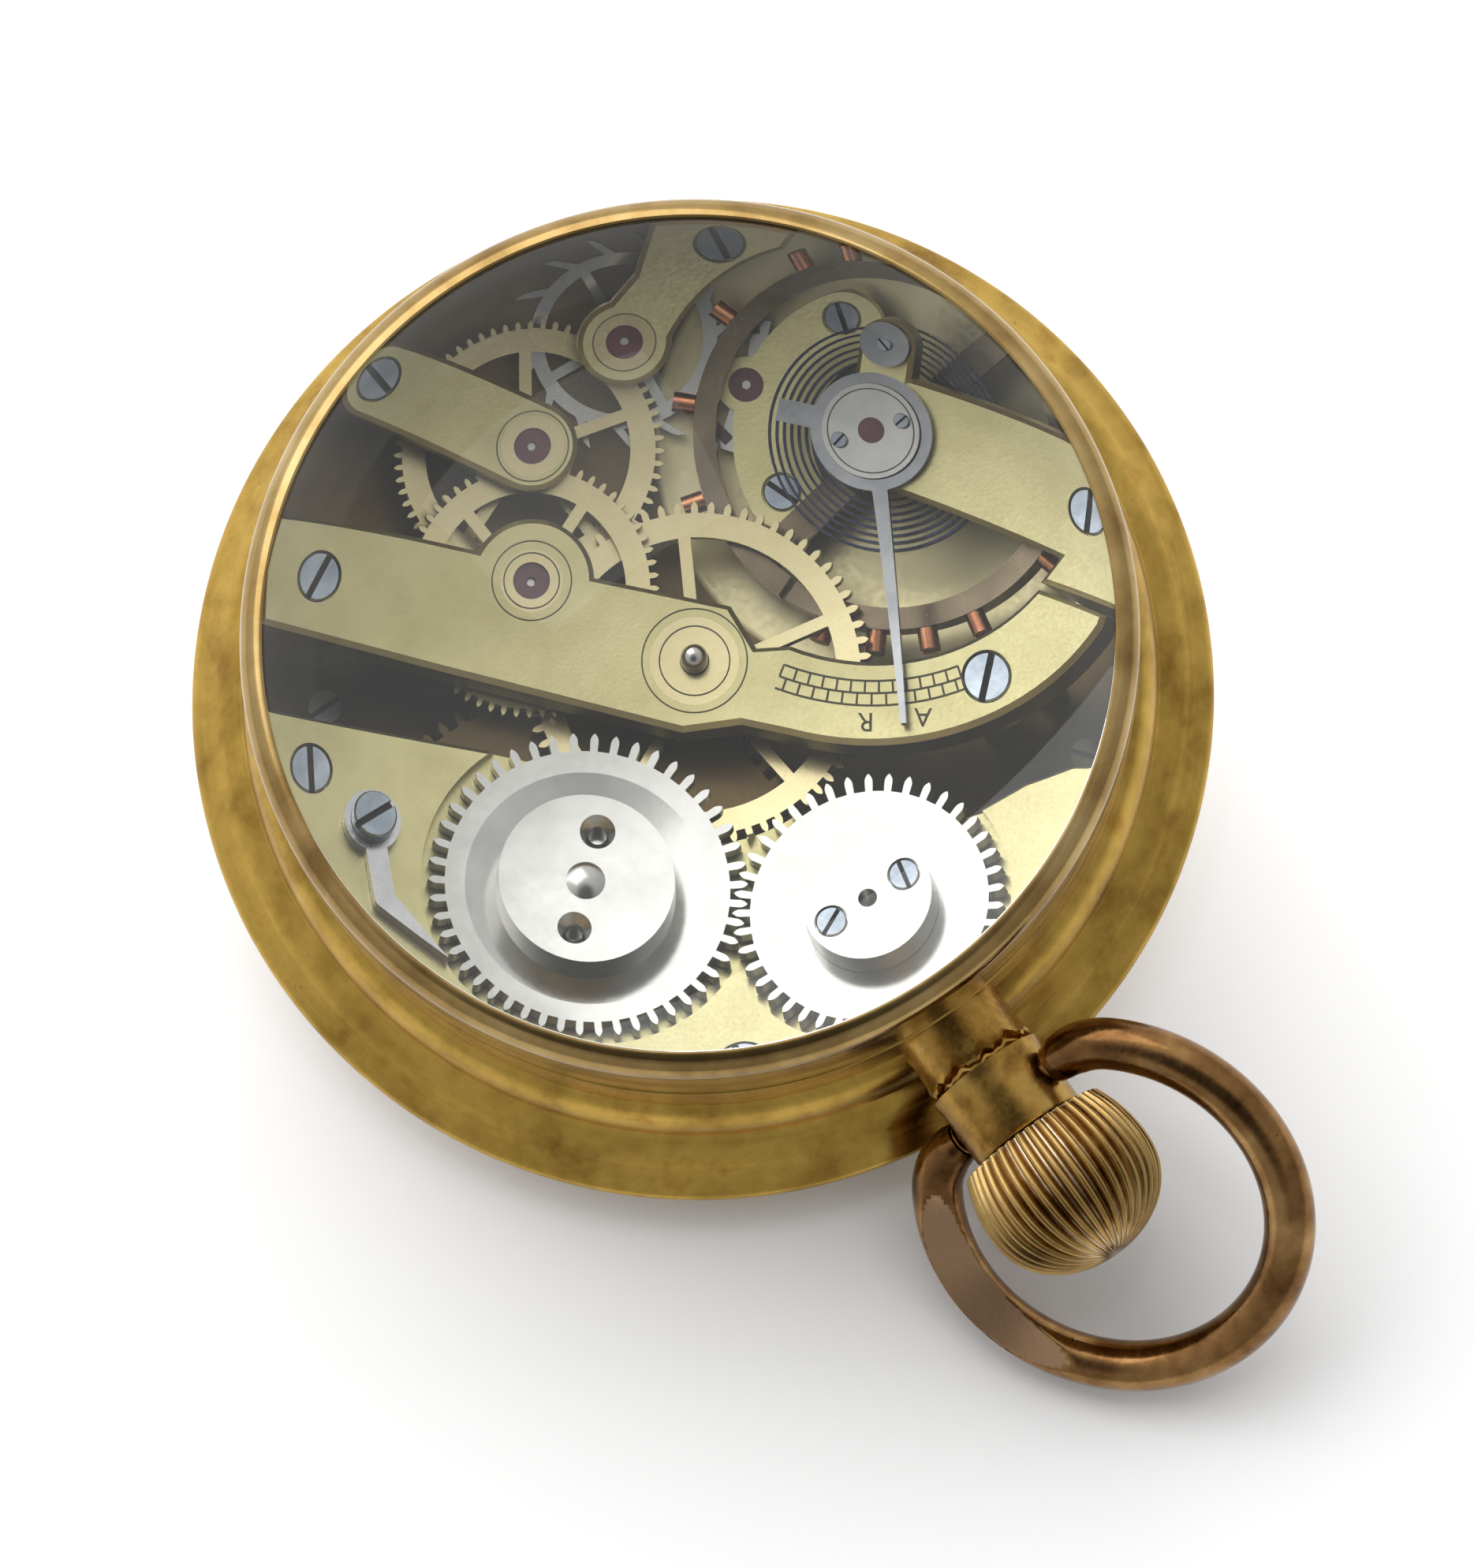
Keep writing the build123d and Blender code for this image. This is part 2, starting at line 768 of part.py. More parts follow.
# Bow: a round ring that bends in to two pivots, with one worn flat
def bow_frame():
    roll = pivot_line()
    turn = math.radians(bow_swing)
    reach = (
        roll[2] * math.sin(turn),
        -math.cos(turn),
        -roll[0] * math.sin(turn),
    )
    axis_x = Vector(*roll)
    axis_y = Vector(*reach)
    return Plane(
        origin=(0, -bow_pivot_place, stem_height), x_dir=axis_x, z_dir=axis_x.cross(axis_y)
    ).location


def make_bow():
    middle = (0.0, bow_centre_reach)
    end_right = polar(bow_ring_radius, -bow_end_angle, middle)
    end_left = polar(bow_ring_radius, 180 + bow_end_angle, middle)
    far = polar(bow_ring_radius, 90, middle)
    bend = end_right[1] / (1 - math.sin(math.radians(bow_end_angle)))
    bend_centre = polar(bend, 180 - bow_end_angle, end_right)
    bend_middle = polar(bend, -(90 + bow_end_angle) / 2, bend_centre)
    foot = (bend_centre[0], 0.0)
    shoulder = neck_radius + bow_neck_gap
    path = Wire(
        [
            Line((shoulder, 0), foot).edge(),
            ThreePointArc(foot, bend_middle, end_right).edge(),
            ThreePointArc(end_right, far, end_left).edge(),
            ThreePointArc(end_left, (-bend_middle[0], bend_middle[1]), (-foot[0], 0)).edge(),
            Line((-foot[0], 0), (-shoulder, 0)).edge(),
        ]
    )
    section = Plane(origin=(shoulder, 0, 0), z_dir=(1, 0, 0)) * Circle(bow_wire_radius)
    wire = sweep(section, path=path)
    stub = Cylinder(bow_pivot_radius, bow_neck_gap + bow_pivot_depth)
    stub_place = shoulder - (bow_neck_gap + bow_pivot_depth) / 2
    for side in (-1, 1):
        wire += Pos(side * stub_place, 0, 0) * Rot(0, 90, 0) * stub
    flat_side = Pos(middle[0], middle[1], 0) * Rot(0, 0, bow_flat_angle) * Rot(0, 180 - bow_flat_tilt, 0)
    span = 2 * (bow_ring_radius + bow_wire_radius)
    cutter = flat_side * Pos(0, 0, bow_flat_reach) * Box(span, span, span, align=BASE)
    side_place = polar(bow_ring_radius, bow_flat_angle, middle)
    worn_side = Pos(*side_place, 0) * Cylinder(bow_ring_radius * bow_flat_share, span)
    return bow_frame() * (wire - (cutter & worn_side))


# Winding stem with its pinion, clutch and lever
def make_stem():
    pilot_end = stem_start + stem_pilot_length
    stem = disc(stem_radius, pilot_end, crown_start + crown_bore_depth)
    stem += disc(stem_pilot_radius, stem_start, pilot_end)
    groove_end = stem_groove_start + stem_groove_length
    stem -= ring(stem_radius + 1, stem_groove_radius, stem_groove_start, groove_end)
    return stem_frame * stem


def make_winding_pinion():
    crown_step = 360 / crown_wheel_teeth
    gap_facing = direction(crown_wheel, barrel) - stem_angle + crown_step / 2
    offset = (gap_facing + crown_step / 2) % crown_step - crown_step / 2
    side = crown_wheel_pitch * math.sin(math.radians(offset)) / winding_pinion_pitch
    facing = 90 - math.degrees(math.asin(side))
    module = winding_pinion_module
    low = winding_pinion_start
    high = low + winding_pinion_length
    teeth = toothed(
        winding_pinion_teeth, module, winding_half * 0.9, 1.0, winding_root, low, high, (0, 0), facing, True
    )
    hub = disc(clutch_radius, low - winding_pinion_hub, low)
    return stem_frame * (teeth + hub - disc(stem_radius + bore_play, low - winding_pinion_hub, high))


def make_clutch():
    body = ring(clutch_radius, stem_radius + bore_play, clutch_start, clutch_start + clutch_length)
    waist_low = clutch_start + (clutch_length - clutch_waist_length) / 2
    groove = ring(
        clutch_radius + 1, clutch_waist_radius, waist_low, waist_low + clutch_waist_length
    )
    return stem_frame * (body - groove)


def make_setting_lever():
    nose_end = stem_groove_start + stem_groove_length - leaf_margin
    low = stem_height - lever_thick / 2
    high = stem_height + lever_thick / 2
    start = stem_groove_radius + bore_play
    nose_place = -(nose_end - lever_nose_width / 2)
    arm_place = nose_place + lever_back
    nose = bar((start, nose_place), 0, stem_radius * 2, lever_nose_width, low, high)
    turn = direction((start + stem_radius, nose_place), (lever_reach, arm_place))
    length = math.dist((start + stem_radius, nose_place), (lever_reach, arm_place))
    arm = bar((start + stem_radius, nose_place), turn, length, lever_width, low, high)
    arm -= bar((start - 1, nose_place), 0, stem_radius + 1, lever_width * 2, low, high)
    hub = disc(lever_width, low, high, (lever_reach, arm_place))
    post = disc(lever_width / 2, plate_top, low, (lever_reach, arm_place))
    return nose + arm + hub + post


# Main plate
def stem_slot(start, end, half_width, low, high):
    return bar(polar(start, stem_angle), stem_angle, end - start, 2 * half_width, low, high)


def bridge_screw_places():
    cocks = (screw_cock, screw_escape, fourth_foot_place)
    return screws_train + screws_barrel + cocks


def make_main_plate():
    plate = disc(plate_radius, rim_bottom, plate_top)
    plate -= disc(plate_rim_inner, rim_bottom, plate_bottom)
    block = stem_slot(stem_start, stem_start + stem_pilot_length, 2 * stem_pilot_radius, plate_top, bridge_bottom)
    plate += block
    plate -= disc(barrel_tip + barrel_play, plate_bottom + pocket_floor, plate_top, barrel)
    plate -= disc(rim_screw_reach + 0.5, plate_top - balance_recess_depth, plate_top, balance)
    pinion_reach = winding_pinion_pitch * 1.25
    slot_low = stem_height - pinion_reach
    slot_end = winding_pinion_start + winding_pinion_length + leaf_margin
    plate -= stem_slot(winding_pinion_start - leaf_margin, slot_end, pinion_reach, slot_low, plate_top)
    pilot = Rot(0, 0, -movement_turn) * stem_frame
    plate -= pilot * disc(stem_pilot_radius + bore_play, stem_start - 1, stem_start + 2)
    plate -= disc(centre_arbor_radius + bore_play, plate_bottom, plate_top)
    plate -= disc(fourth_arbor_radius + bore_play, plate_bottom, plate_top, fourth)
    plate -= disc(barrel_pivot_radius + bore_play, plate_bottom, plate_top, barrel)
    for place in (third, escape, pallet, balance):
        plate -= disc(pivot_radius + pivot_play, plate_bottom, plate_top, place)
    for place in bridge_screw_places():
        plate -= disc(bridge_screw_shank + bore_play, bridge_screw_end, plate_top, place)
    for place in screws_plate + pallet_screw_places():
        plate -= disc(small_screw_shank + bore_play, plate_bottom, plate_top, place)
    for angle in case_screw_angles:
        place = polar(case_screw_place, angle)
        plate -= disc(small_screw_shank + bore_play, plate_top - case_screw_length, plate_top, place)
    for place in dial_foot_places():
        plate -= disc(dial_foot_radius + bore_play, rim_bottom, rim_bottom + dial_foot_length + 0.1, place)
    for place in (minute_place, setting_place):
        plate += disc(motion_post_radius, hour_wheel_height, plate_bottom, place)
    return plate


# Bridges and cocks
def foot_under(plan, region, low, high):
    return extrude(plan, high - low).moved(Location((0, 0, low))) & region


def plan_of(points):
    return face_of(Polyline(*points, close=True))


def make_train_bridge():
    inner = [polar(scale_inner_radius, angle, balance) for angle in (-111.0, -76.0, -41.5)]
    outer = [polar(scale_outer_radius, angle, balance) for angle in (-37.0, -71.0, -105.0)]
    right_end = (18.9, 2.45)
    upper = ((-20.2, 7.4), (-12.4, 5.6), (-4.7, 3.7), (1.5, 2.4), (2.6, 0.6))
    lower = ((2.0, -2.7), (-0.5, -3.05), (-11.0, -0.35), (-20.2, 2.1))
    plan = face_of(
        Polyline(*upper, inner[0]),
        ThreePointArc(*inner),
        Polyline(inner[2], right_end, outer[0]),
        ThreePointArc(*outer),
        Polyline(outer[2], *lower, upper[0]),
    )
    body = Pos(0, 0, bridge_bottom) * extrude(plan, bridge_thick)
    body += disc(train_boss_radius, bridge_bottom, bridge_top, third)
    body &= disc(bridge_reach, plate_top, bridge_top)
    body = bevelled(body, bridge_bevel)
    left_region = Pos(-20, 4.5, plate_top) * Box(12.4, 20, bridge_thick * 4, align=BASE)
    whole_reach = disc(bridge_reach, plate_top, bridge_top)
    body += foot_under(plan, left_region & whole_reach, plate_top, bridge_bottom)
    body += disc(train_boss_radius * 0.7, plate_top, bridge_bottom, screws_train[1])
    body -= disc(setting_radius, bridge_bottom, bridge_top, third)
    body -= disc(centre_bush_radius, bridge_bottom, bridge_top)
    seat = bridge_top - bridge_screw_head_thick
    for place in screws_train:
        body -= screw_hole(place, seat, bridge_screw_head, bridge_screw_shank, plate_top, bridge_top)
    return body


def make_barrel_bridge():
    upper = ((-21, -1.75), (-8.7, -3.9), (9.0, -7.6), (12.78, -6.6), (15.0, -5.4), (17.5, -4.6), (21, -4.6))
    plan = plan_of(upper + ((21, -22), (-21, -22)))
    whole = disc(bridge_reach, plate_top, bridge_top)
    hollow = disc(centre_teeth * centre_module / 2 + wheel_rim, plate_top, bridge_top)
    body = (Pos(0, 0, bridge_bottom) * extrude(plan, bridge_thick)) & whole
    body = bevelled(body - hollow, bridge_bevel)
    foot_ring = ring(bridge_reach, bridge_reach - 4.2, plate_top, bridge_bottom)
    foot = foot_under(plan, foot_ring, plate_top, bridge_bottom)
    foot -= disc(barrel_tip + barrel_play * 3, plate_top, bridge_bottom, barrel)
    slot_end = plate_radius
    half_slot = lever_reach + lever_width * 2
    foot -= stem_slot(clutch_start, slot_end, half_slot, plate_top, bridge_bottom)
    body += foot
    body -= disc(ratchet_tip + winding_sink_play, sink_floor, bridge_top, barrel)
    body -= disc(crown_wheel_tip + winding_sink_play, sink_floor, bridge_top, crown_wheel)
    opening = math.sqrt(winding_pinion_tip**2 - (bridge_bottom - stem_height) ** 2) + leaf_margin
    body -= stem_slot(winding_pinion_start - leaf_margin, slot_end, opening, bridge_bottom, bridge_top)
    body -= disc(barrel_arbor_radius + bore_play, bridge_bottom, bridge_top, barrel)
    seat = bridge_top - bridge_screw_head_thick
    for place in screws_barrel:
        body -= screw_hole(place, seat, bridge_screw_head, bridge_screw_shank, plate_top, bridge_top)
    for place in core_screw_places():
        body -= disc(small_screw_shank + bore_play, bridge_bottom, bridge_top, place)
    body -= disc(bridge_screw_shank + bore_play, bridge_bottom, bridge_top, click_place)
    return body


def make_fourth_cock():
    length = math.dist(fourth, fourth_foot_place)
    turn = direction(fourth, fourth_foot_place)
    body = disc(fourth_boss_radius, bridge_bottom, small_cock_top, fourth)
    body += disc(fourth_boss_radius, bridge_bottom, small_cock_top, fourth_foot_place)
    body += bar(fourth, turn, length, 2 * fourth_boss_radius, bridge_bottom, small_cock_top)
    body = bevelled(body, bridge_bevel)
    body += disc(fourth_boss_radius, plate_top, bridge_bottom, fourth_foot_place)
    body -= disc(setting_radius, bridge_bottom, small_cock_top, fourth)
    seat = small_cock_top - bridge_screw_head_thick
    hole = screw_hole(
        fourth_foot_place, seat, bridge_screw_head, bridge_screw_shank, plate_top, small_cock_top
    )
    return body - hole


def make_escape_cock():
    clear = rim_screw_reach + 0.8
    arc = [polar(clear, angle, balance) for angle in (164.0, 140.0, 114.0)]
    left = ((5.0, 21.5), (-2.0, 21.5), (-2.8, 17.3), (-4.0, 15.6), escape)
    plan = face_of(ThreePointArc(*arc), Polyline(arc[2], *left, arc[0]))
    body = Pos(0, 0, bridge_bottom) * extrude(plan, small_cock_thick)
    body += disc(escape_boss_radius, bridge_bottom, small_cock_top, escape)
    body &= disc(bridge_reach, plate_top, small_cock_top)
    body = bevelled(body, bridge_bevel)
    body += disc(bridge_screw_head * 1.3, plate_top, bridge_bottom, screw_escape)
    body -= disc(setting_radius, bridge_bottom, small_cock_top, escape)
    seat = small_cock_top - bridge_screw_head_thick
    return body - screw_hole(
        screw_escape, seat, bridge_screw_head, bridge_screw_shank, plate_top, small_cock_top
    )


def pallet_screw_places():
    return (polar(*pallet_foot_upper, balance), polar(*pallet_foot_lower, balance))


def make_pallet_bridge():
    low = pallet_bridge_bottom
    high = pallet_bridge_top
    turn = (pallet_foot_upper[1] + pallet_foot_lower[1]) / 2
    half = (pallet_foot_lower[1] - pallet_foot_upper[1]) / 2
    middle = (pallet_bridge_inner + pallet_bridge_outer) / 2
    outer = [polar(pallet_bridge_outer, turn + share * half, balance) for share in (-1, 0, 1)]
    inner = [polar(pallet_bridge_inner, turn + share * half, balance) for share in (1, 0, -1)]
    plan = face_of(
        ThreePointArc(*outer), Line(outer[2], inner[0]), ThreePointArc(*inner), Line(inner[2], outer[0])
    )
    body = Pos(0, 0, low) * extrude(plan, high - low)
    for angle in (turn - half, turn + half):
        end_radius = (pallet_bridge_outer - pallet_bridge_inner) / 2
        body += disc(end_radius, low, high, polar(middle, angle, balance))
    body += disc(pallet_boss_radius, low, high, pallet)
    floor = plate_top - balance_recess_depth
    body -= disc(pallet_jewel_radius, low, high, pallet)
    for place in pallet_screw_places():
        body += disc(pallet_foot_radius, floor, low, place)
        seat = high - small_screw_head_thick
        body -= screw_hole(place, seat, small_screw_head, small_screw_shank, floor, high)
    return body


def make_balance_cock():
    upper = ((7.2, 12.5), (9.4, 12.7), (17.2, 10.85), (21.0, 9.9))
    lower = ((21.0, 2.4), (15.4, 3.75), (16.4, 4.95), (8.5, 7.5))
    plan = plan_of(upper + lower)
    body = Pos(0, 0, cock_bottom) * extrude(plan, cock_thick)
    body += disc(cock_boss_radius, cock_bottom, cock_top, balance)
    ear = direction(stud, balance)
    body += bar(stud, ear, stud_place, 2 * stud_ear_radius, cock_bottom, cock_top)
    body += disc(stud_ear_radius, cock_bottom, cock_top, stud)
    body &= disc(bridge_reach, plate_top, cock_top)
    body = bevelled(body, bridge_bevel)
    clear = disc(rim_screw_reach + 0.9, plate_top, cock_bottom, balance)
    reach = disc(bridge_reach, plate_top, cock_bottom)
    body += foot_under(plan, reach, plate_top, cock_bottom) - clear
    body -= disc(pivot_radius + pivot_play, cock_bottom, cock_top, balance)
    body -= disc(stud_post_radius + bore_play, cock_bottom, cock_top, stud_post_place())
    body -= disc(tiny_screw_shank + bore_play, cock_bottom, cock_top, stud)
    for place in cap_screw_places():
        body -= disc(tiny_screw_shank + bore_play, cock_bottom, cock_top, place)
    seat = cock_top - bridge_screw_head_thick
    return body - screw_hole(screw_cock, seat, bridge_screw_head, bridge_screw_shank, plate_top, cock_top)


# Fasteners in groups of equal screws
def make_bridge_screws():
    tops = {screw_cock: cock_top, screw_escape: small_cock_top, fourth_foot_place: small_cock_top}
    parts = []
    for index, place in enumerate(bridge_screw_places()):
        seat = tops.get(place, bridge_top) - bridge_screw_head_thick
        length = seat - bridge_screw_end
        turn = 35 + 50 * index
        parts.append(
            screw(place, seat, bridge_screw_head, bridge_screw_head_thick, bridge_screw_shank, length, turn)
        )
    click_seat = bridge_top + click_thick + 2 * bore_play
    click_length = click_seat - bridge_bottom
    parts.append(
        screw(
            click_place, click_seat, bridge_screw_head, bridge_screw_head_thick, bridge_screw_shank,
            click_length, click_screw_slot_angle,
        )
    )
    return parts


def core_screw_places():
    return (
        polar(core_screw_place, core_screw_angle, crown_wheel),
        polar(core_screw_place, core_screw_angle + 180, crown_wheel),
    )


def make_small_screws():
    seats = [(place, ratchet_boss_top - small_screw_head_thick) for place in core_screw_places()]
    seats += [(place, pallet_bridge_top - small_screw_head_thick) for place in pallet_screw_places()]
    seats += [(place, plate_top) for place in screws_plate]
    parts = []
    for index, (place, seat) in enumerate(seats):
        turn = 20 + 65 * index
        parts.append(
            screw(
                place, seat, small_screw_head, small_screw_head_thick, small_screw_shank, small_screw_length, turn
            )
        )
    return parts


def cap_screw_places():
    return (
        polar(cap_screw_place, cap_screw_angle, balance),
        polar(cap_screw_place, cap_screw_angle + 180, balance),
    )


def make_tiny_screws():
    seats = [(place, cock_top + cap_thick) for place in cap_screw_places()]
    seats.append((stud, cock_top + stud_holder_thick))
    parts = []
    for index, (place, seat) in enumerate(seats):
        turn = 70 + 40 * index
        parts.append(
            screw(place, seat, tiny_screw_head, tiny_screw_head_thick, tiny_screw_shank, tiny_screw_length, turn)
        )
    return parts


def make_case_screws():
    parts = []
    for angle in case_screw_angles:
        place = polar(case_screw_place, angle)
        parts.append(
            screw(
                place, plate_top, case_screw_head, small_screw_head_thick, small_screw_shank,
                case_screw_length - leaf_margin, angle,
            )
        )
    return parts


# Jewels and their settings
def jewelled_places():
    return ((third, bridge_top), (fourth, small_cock_top), (escape, small_cock_top))


def make_settings():
    parts = []
    for place, top in jewelled_places():
        setting = disc(setting_radius, bridge_bottom, top, place)
        floor = top - setting_ledge - jewel_thick
        setting -= disc(jewel_radius, floor, top, place)
        parts.append(setting - disc(setting_bore, bridge_bottom, top, place))
    return parts


def make_jewels():
    hole = pivot_radius + pivot_play
    parts = []
    for place, top in jewelled_places():
        floor = top - setting_ledge - jewel_thick
        parts.append(ring(jewel_radius, hole, floor, floor + jewel_thick, place))
    parts.append(ring(pallet_jewel_radius, hole, pallet_bridge_bottom, pallet_bridge_top - leaf_margin, pallet))
    parts.append(disc(cap_jewel_radius, cock_top + bore_play, cock_top + cap_thick, balance))
    return parts


def make_centre_bush():
    return ring(centre_bush_radius, centre_arbor_radius + bore_play, bridge_bottom, bridge_top)


# Going train
def make_barrel_drum():
    low = barrel_tooth_height
    high = low + barrel_tooth_thick
    facing = direction(barrel, centre)
    drum = toothed(
        barrel_teeth, barrel_module, tooth_half, tooth_rise, tooth_root, low, high, barrel, facing, False
    )
    drum += disc(barrel_wall_radius, barrel_bottom, low, barrel)
    drum -= disc(barrel_wall_radius - barrel_wall, barrel_bottom, high - barrel_floor_thick, barrel)
    return drum - disc(barrel_arbor_radius + bore_play, barrel_bottom, high, barrel)


def make_barrel_cover():
    outer = barrel_wall_radius - barrel_wall
    inner = barrel_pivot_radius + bore_play
    return ring(outer, inner, barrel_bottom, barrel_bottom + barrel_cover_thick, barrel)


def make_barrel_arbor():
    hub_low = barrel_bottom + barrel_cover_thick + leaf_margin
    hub_high = barrel_tooth_height + barrel_tooth_thick - barrel_floor_thick - leaf_margin
    arbor = disc(barrel_pivot_radius, plate_bottom, hub_low, barrel)
    arbor += disc(barrel_hub_radius, hub_low, hub_high, barrel)
    arbor += disc(barrel_arbor_radius, hub_high, winding_wheel_height, barrel)
    arbor += disc(ratchet_square_radius, winding_wheel_height, ratchet_boss_top, barrel)
    dome_radius = (ratchet_square_radius**2 + ratchet_dome_rise**2) / (2 * ratchet_dome_rise)
    centre_height = ratchet_boss_top + ratchet_dome_rise - dome_radius
    dome = Pos(barrel[0], barrel[1], centre_height) * Sphere(dome_radius)
    return arbor + (dome & disc(ratchet_square_radius, ratchet_boss_top, ratchet_boss_top + 1, barrel))


# Flat spiral of half turns about two neighbouring centres
def spiral_edges(start, pitch, turns, offset):
    edges = []
    for index in range(turns):
        radius = start + index * pitch + offset
        end = start + (index + 1) * pitch + offset
        edges.append(ThreePointArc((radius, 0), (0, radius), (-radius, 0)))
        edges.append(ThreePointArc((-radius, 0), (pitch / 2, -(radius + end) / 2), (end, 0)))
    return edges


def make_mainspring():
    outer = spiral_edges(barrel_hub_radius + mainspring_thick, mainspring_pitch, mainspring_turns, 0)
    inner = spiral_edges(
        barrel_hub_radius + mainspring_thick, mainspring_pitch, mainspring_turns, -mainspring_thick / 2
    )
    closing = [Line(outer[0] @ 0, inner[0] @ 0), Line(outer[-1] @ 1, inner[-1] @ 1)]
    face = face_of(*outer, *inner, *closing)
    low = barrel_bottom + barrel_cover_thick + leaf_margin
    high = barrel_tooth_height + barrel_tooth_thick - barrel_floor_thick - leaf_margin
    return Pos(barrel[0], barrel[1], low) * extrude(face, high - low)


def make_centre_wheel():
    low = centre_wheel_height
    high = low + centre_wheel_thick
    return crossed_wheel(
        centre_teeth, centre_module, low, high, centre, third_direction, centre_arbor_radius, 24.0
    )


def make_centre_pinion():
    low = plate_top + leaf_margin
    high = centre_wheel_height - leaf_margin
    arbor = disc(centre_arbor_radius, centre_arbor_bottom, centre_arbor_top)
    tip = Pos(0, 0, centre_arbor_top) * Sphere(centre_arbor_radius)
    leaves = pinion(centre_leaves, barrel_module, low, high, centre, barrel_direction)
    return arbor + tip + leaves


def arbor_with_pivots(radius, place, low, high, bearing_top):
    arbor = disc(radius, low, high, place)
    return arbor + disc(pivot_radius, pivot_bottom, bearing_top, place)


def make_third_wheel():
    low = third_wheel_height
    high = low + wheel_thick
    return crossed_wheel(
        third_teeth, third_module, low, high, third, fourth_direction, third_arbor_radius, 57.0
    )


def make_third_pinion():
    low = centre_wheel_height - leaf_margin
    high = third_wheel_height
    top = bridge_bottom - leaf_margin / 2
    arbor = arbor_with_pivots(third_arbor_radius, third, plate_top + leaf_margin, top, bridge_top - 0.4)
    return arbor + pinion(third_leaves, centre_module, low, high, third, third_direction + 180)


def make_fourth_wheel():
    low = fourth_wheel_height
    high = low + wheel_thick
    return crossed_wheel(
        fourth_teeth, fourth_module, low, high, fourth, escape_direction, fourth_arbor_radius, 20.0
    )


def make_fourth_pinion():
    low = third_wheel_height - leaf_margin
    high = third_wheel_height + wheel_thick + leaf_margin
    arbor = disc(fourth_arbor_radius, seconds_arbor_bottom, high, fourth)
    arbor += disc(pivot_radius, high, small_cock_top - 0.4, fourth)
    return arbor + pinion(fourth_leaves, third_module, low, high, fourth, fourth_direction + 180)


def make_escape_wheel():
    low = escape_wheel_height
    high = low + escape_wheel_thick
    wheel = ring(escape_rim_outer, escape_rim_inner, low, high, escape)
    wheel += disc(wheel_hub * 0.7, low, high, escape)
    for index in range(wheel_spokes - 1):
        turn = 30 + index * 360 / (wheel_spokes - 1)
        wheel += bar(escape, turn, escape_rim_outer - 0.2, spoke_width * 0.8, low, high)
    for index in range(escape_teeth):
        turn = pallet_direction + (index + 0.5) * 360 / escape_teeth
        tooth = (
            polar(escape_rim_outer - 0.1, turn - escape_tooth_lean - escape_tooth_foot, escape),
            polar(escape_rim_outer - 0.1, turn - escape_tooth_lean, escape),
            polar(escape_tip_radius - escape_club_drop, turn - escape_club, escape),
            polar(escape_tip_radius, turn, escape),
            polar(escape_tip_radius - escape_club_drop * 2, turn - escape_club - 2, escape),
        )
        wheel += slab((tooth[0], tooth[1], tooth[3], tooth[2], tooth[4]), low, high)
    return wheel - disc(escape_arbor_radius, low, high, escape)


def make_escape_pinion():
    low = fourth_wheel_height - leaf_margin
    high = fourth_wheel_height + wheel_thick + leaf_margin
    top = bridge_bottom - leaf_margin
    arbor = arbor_with_pivots(
        escape_arbor_radius, escape, plate_top + leaf_margin / 2, top, small_cock_top - 0.4
    )
    return arbor + pinion(escape_leaves, fourth_module, low, high, escape, escape_direction + 180)


# Escapement and balance
def make_pallet_fork():
    low = pallet_height
    high = low + pallet_thick
    lever = balance_distance - pallet_lever_end
    fork = disc(pallet_hub_radius, low, high, pallet)
    fork += bar(pallet, balance_direction, lever, pallet_lever_width, low, high)
    head = polar(lever - 2 * pallet_fork_depth, balance_direction, pallet)
    fork += bar(head, balance_direction, 2 * pallet_fork_depth, pallet_fork_width, low, high)
    notch = polar(lever - pallet_fork_depth, balance_direction, pallet)
    fork -= bar(notch, balance_direction, pallet_fork_depth * 2, pallet_fork_notch, low, high)
    for angle in (pallet_arm_upper, pallet_arm_lower):
        fork += bar(pallet, angle, pallet_arm_length, pallet_arm_width, low, high)
    fork -= disc(escape_tip_radius + stone_clear, low, high, escape)
    for stone in stones():
        fork -= stone
    return fork + disc(pivot_radius, pivot_bottom, pallet_bridge_top - 0.15, pallet)


def stones():
    low = pallet_height
    high = low + pallet_thick
    ring_clear = escape_tip_radius + stone_clear
    result = []
    for angle in (pallet_arm_upper, pallet_arm_lower):
        end = polar(pallet_arm_length - stone_width * 0.8, angle, pallet)
        turn = direction(end, escape)
        length = math.dist(end, escape) - ring_clear
        result.append(bar(end, turn, length, stone_width, low, high))
    return result


def make_balance_wheel():
    low = balance_rim_bottom
    high = low + balance_rim_thick
    arm_low = low + balance_arm_lift
    arm_high = arm_low + balance_arm_thick
    wheel = ring(balance_rim_outer, balance_rim_inner, low, high, balance)
    for side in (0, 180):
        cut = balance_arm_angle + side + balance_rim_cut_angle
        wheel -= bar(balance, cut, balance_rim_outer + 1, balance_rim_cut, low, high)
    for side in (0, 180):
        reach = (balance_rim_outer + balance_rim_inner) / 2
        wheel += bar(balance, balance_arm_angle + side, reach, balance_arm_width, arm_low, arm_high)
    wheel += disc(balance_hub_radius, arm_low, arm_high, balance)
    wheel -= disc(staff_radius, low, high, balance)
    for frame in rim_screw_frames():
        wheel -= frame * disc(rim_screw_shank + bore_play, balance_rim_inner - 0.5, balance_rim_outer)
    return wheel


def rim_screw_frames():
    height = balance_rim_bottom + balance_rim_thick / 2
    frames = []
    for side in (0, 180):
        for step in rim_screw_steps:
            turn = math.radians(balance_arm_angle + side + step)
            outward = (math.cos(turn), math.sin(turn), 0)
            frames.append(Plane(origin=(balance[0], balance[1], height), z_dir=outward).location)
    return frames


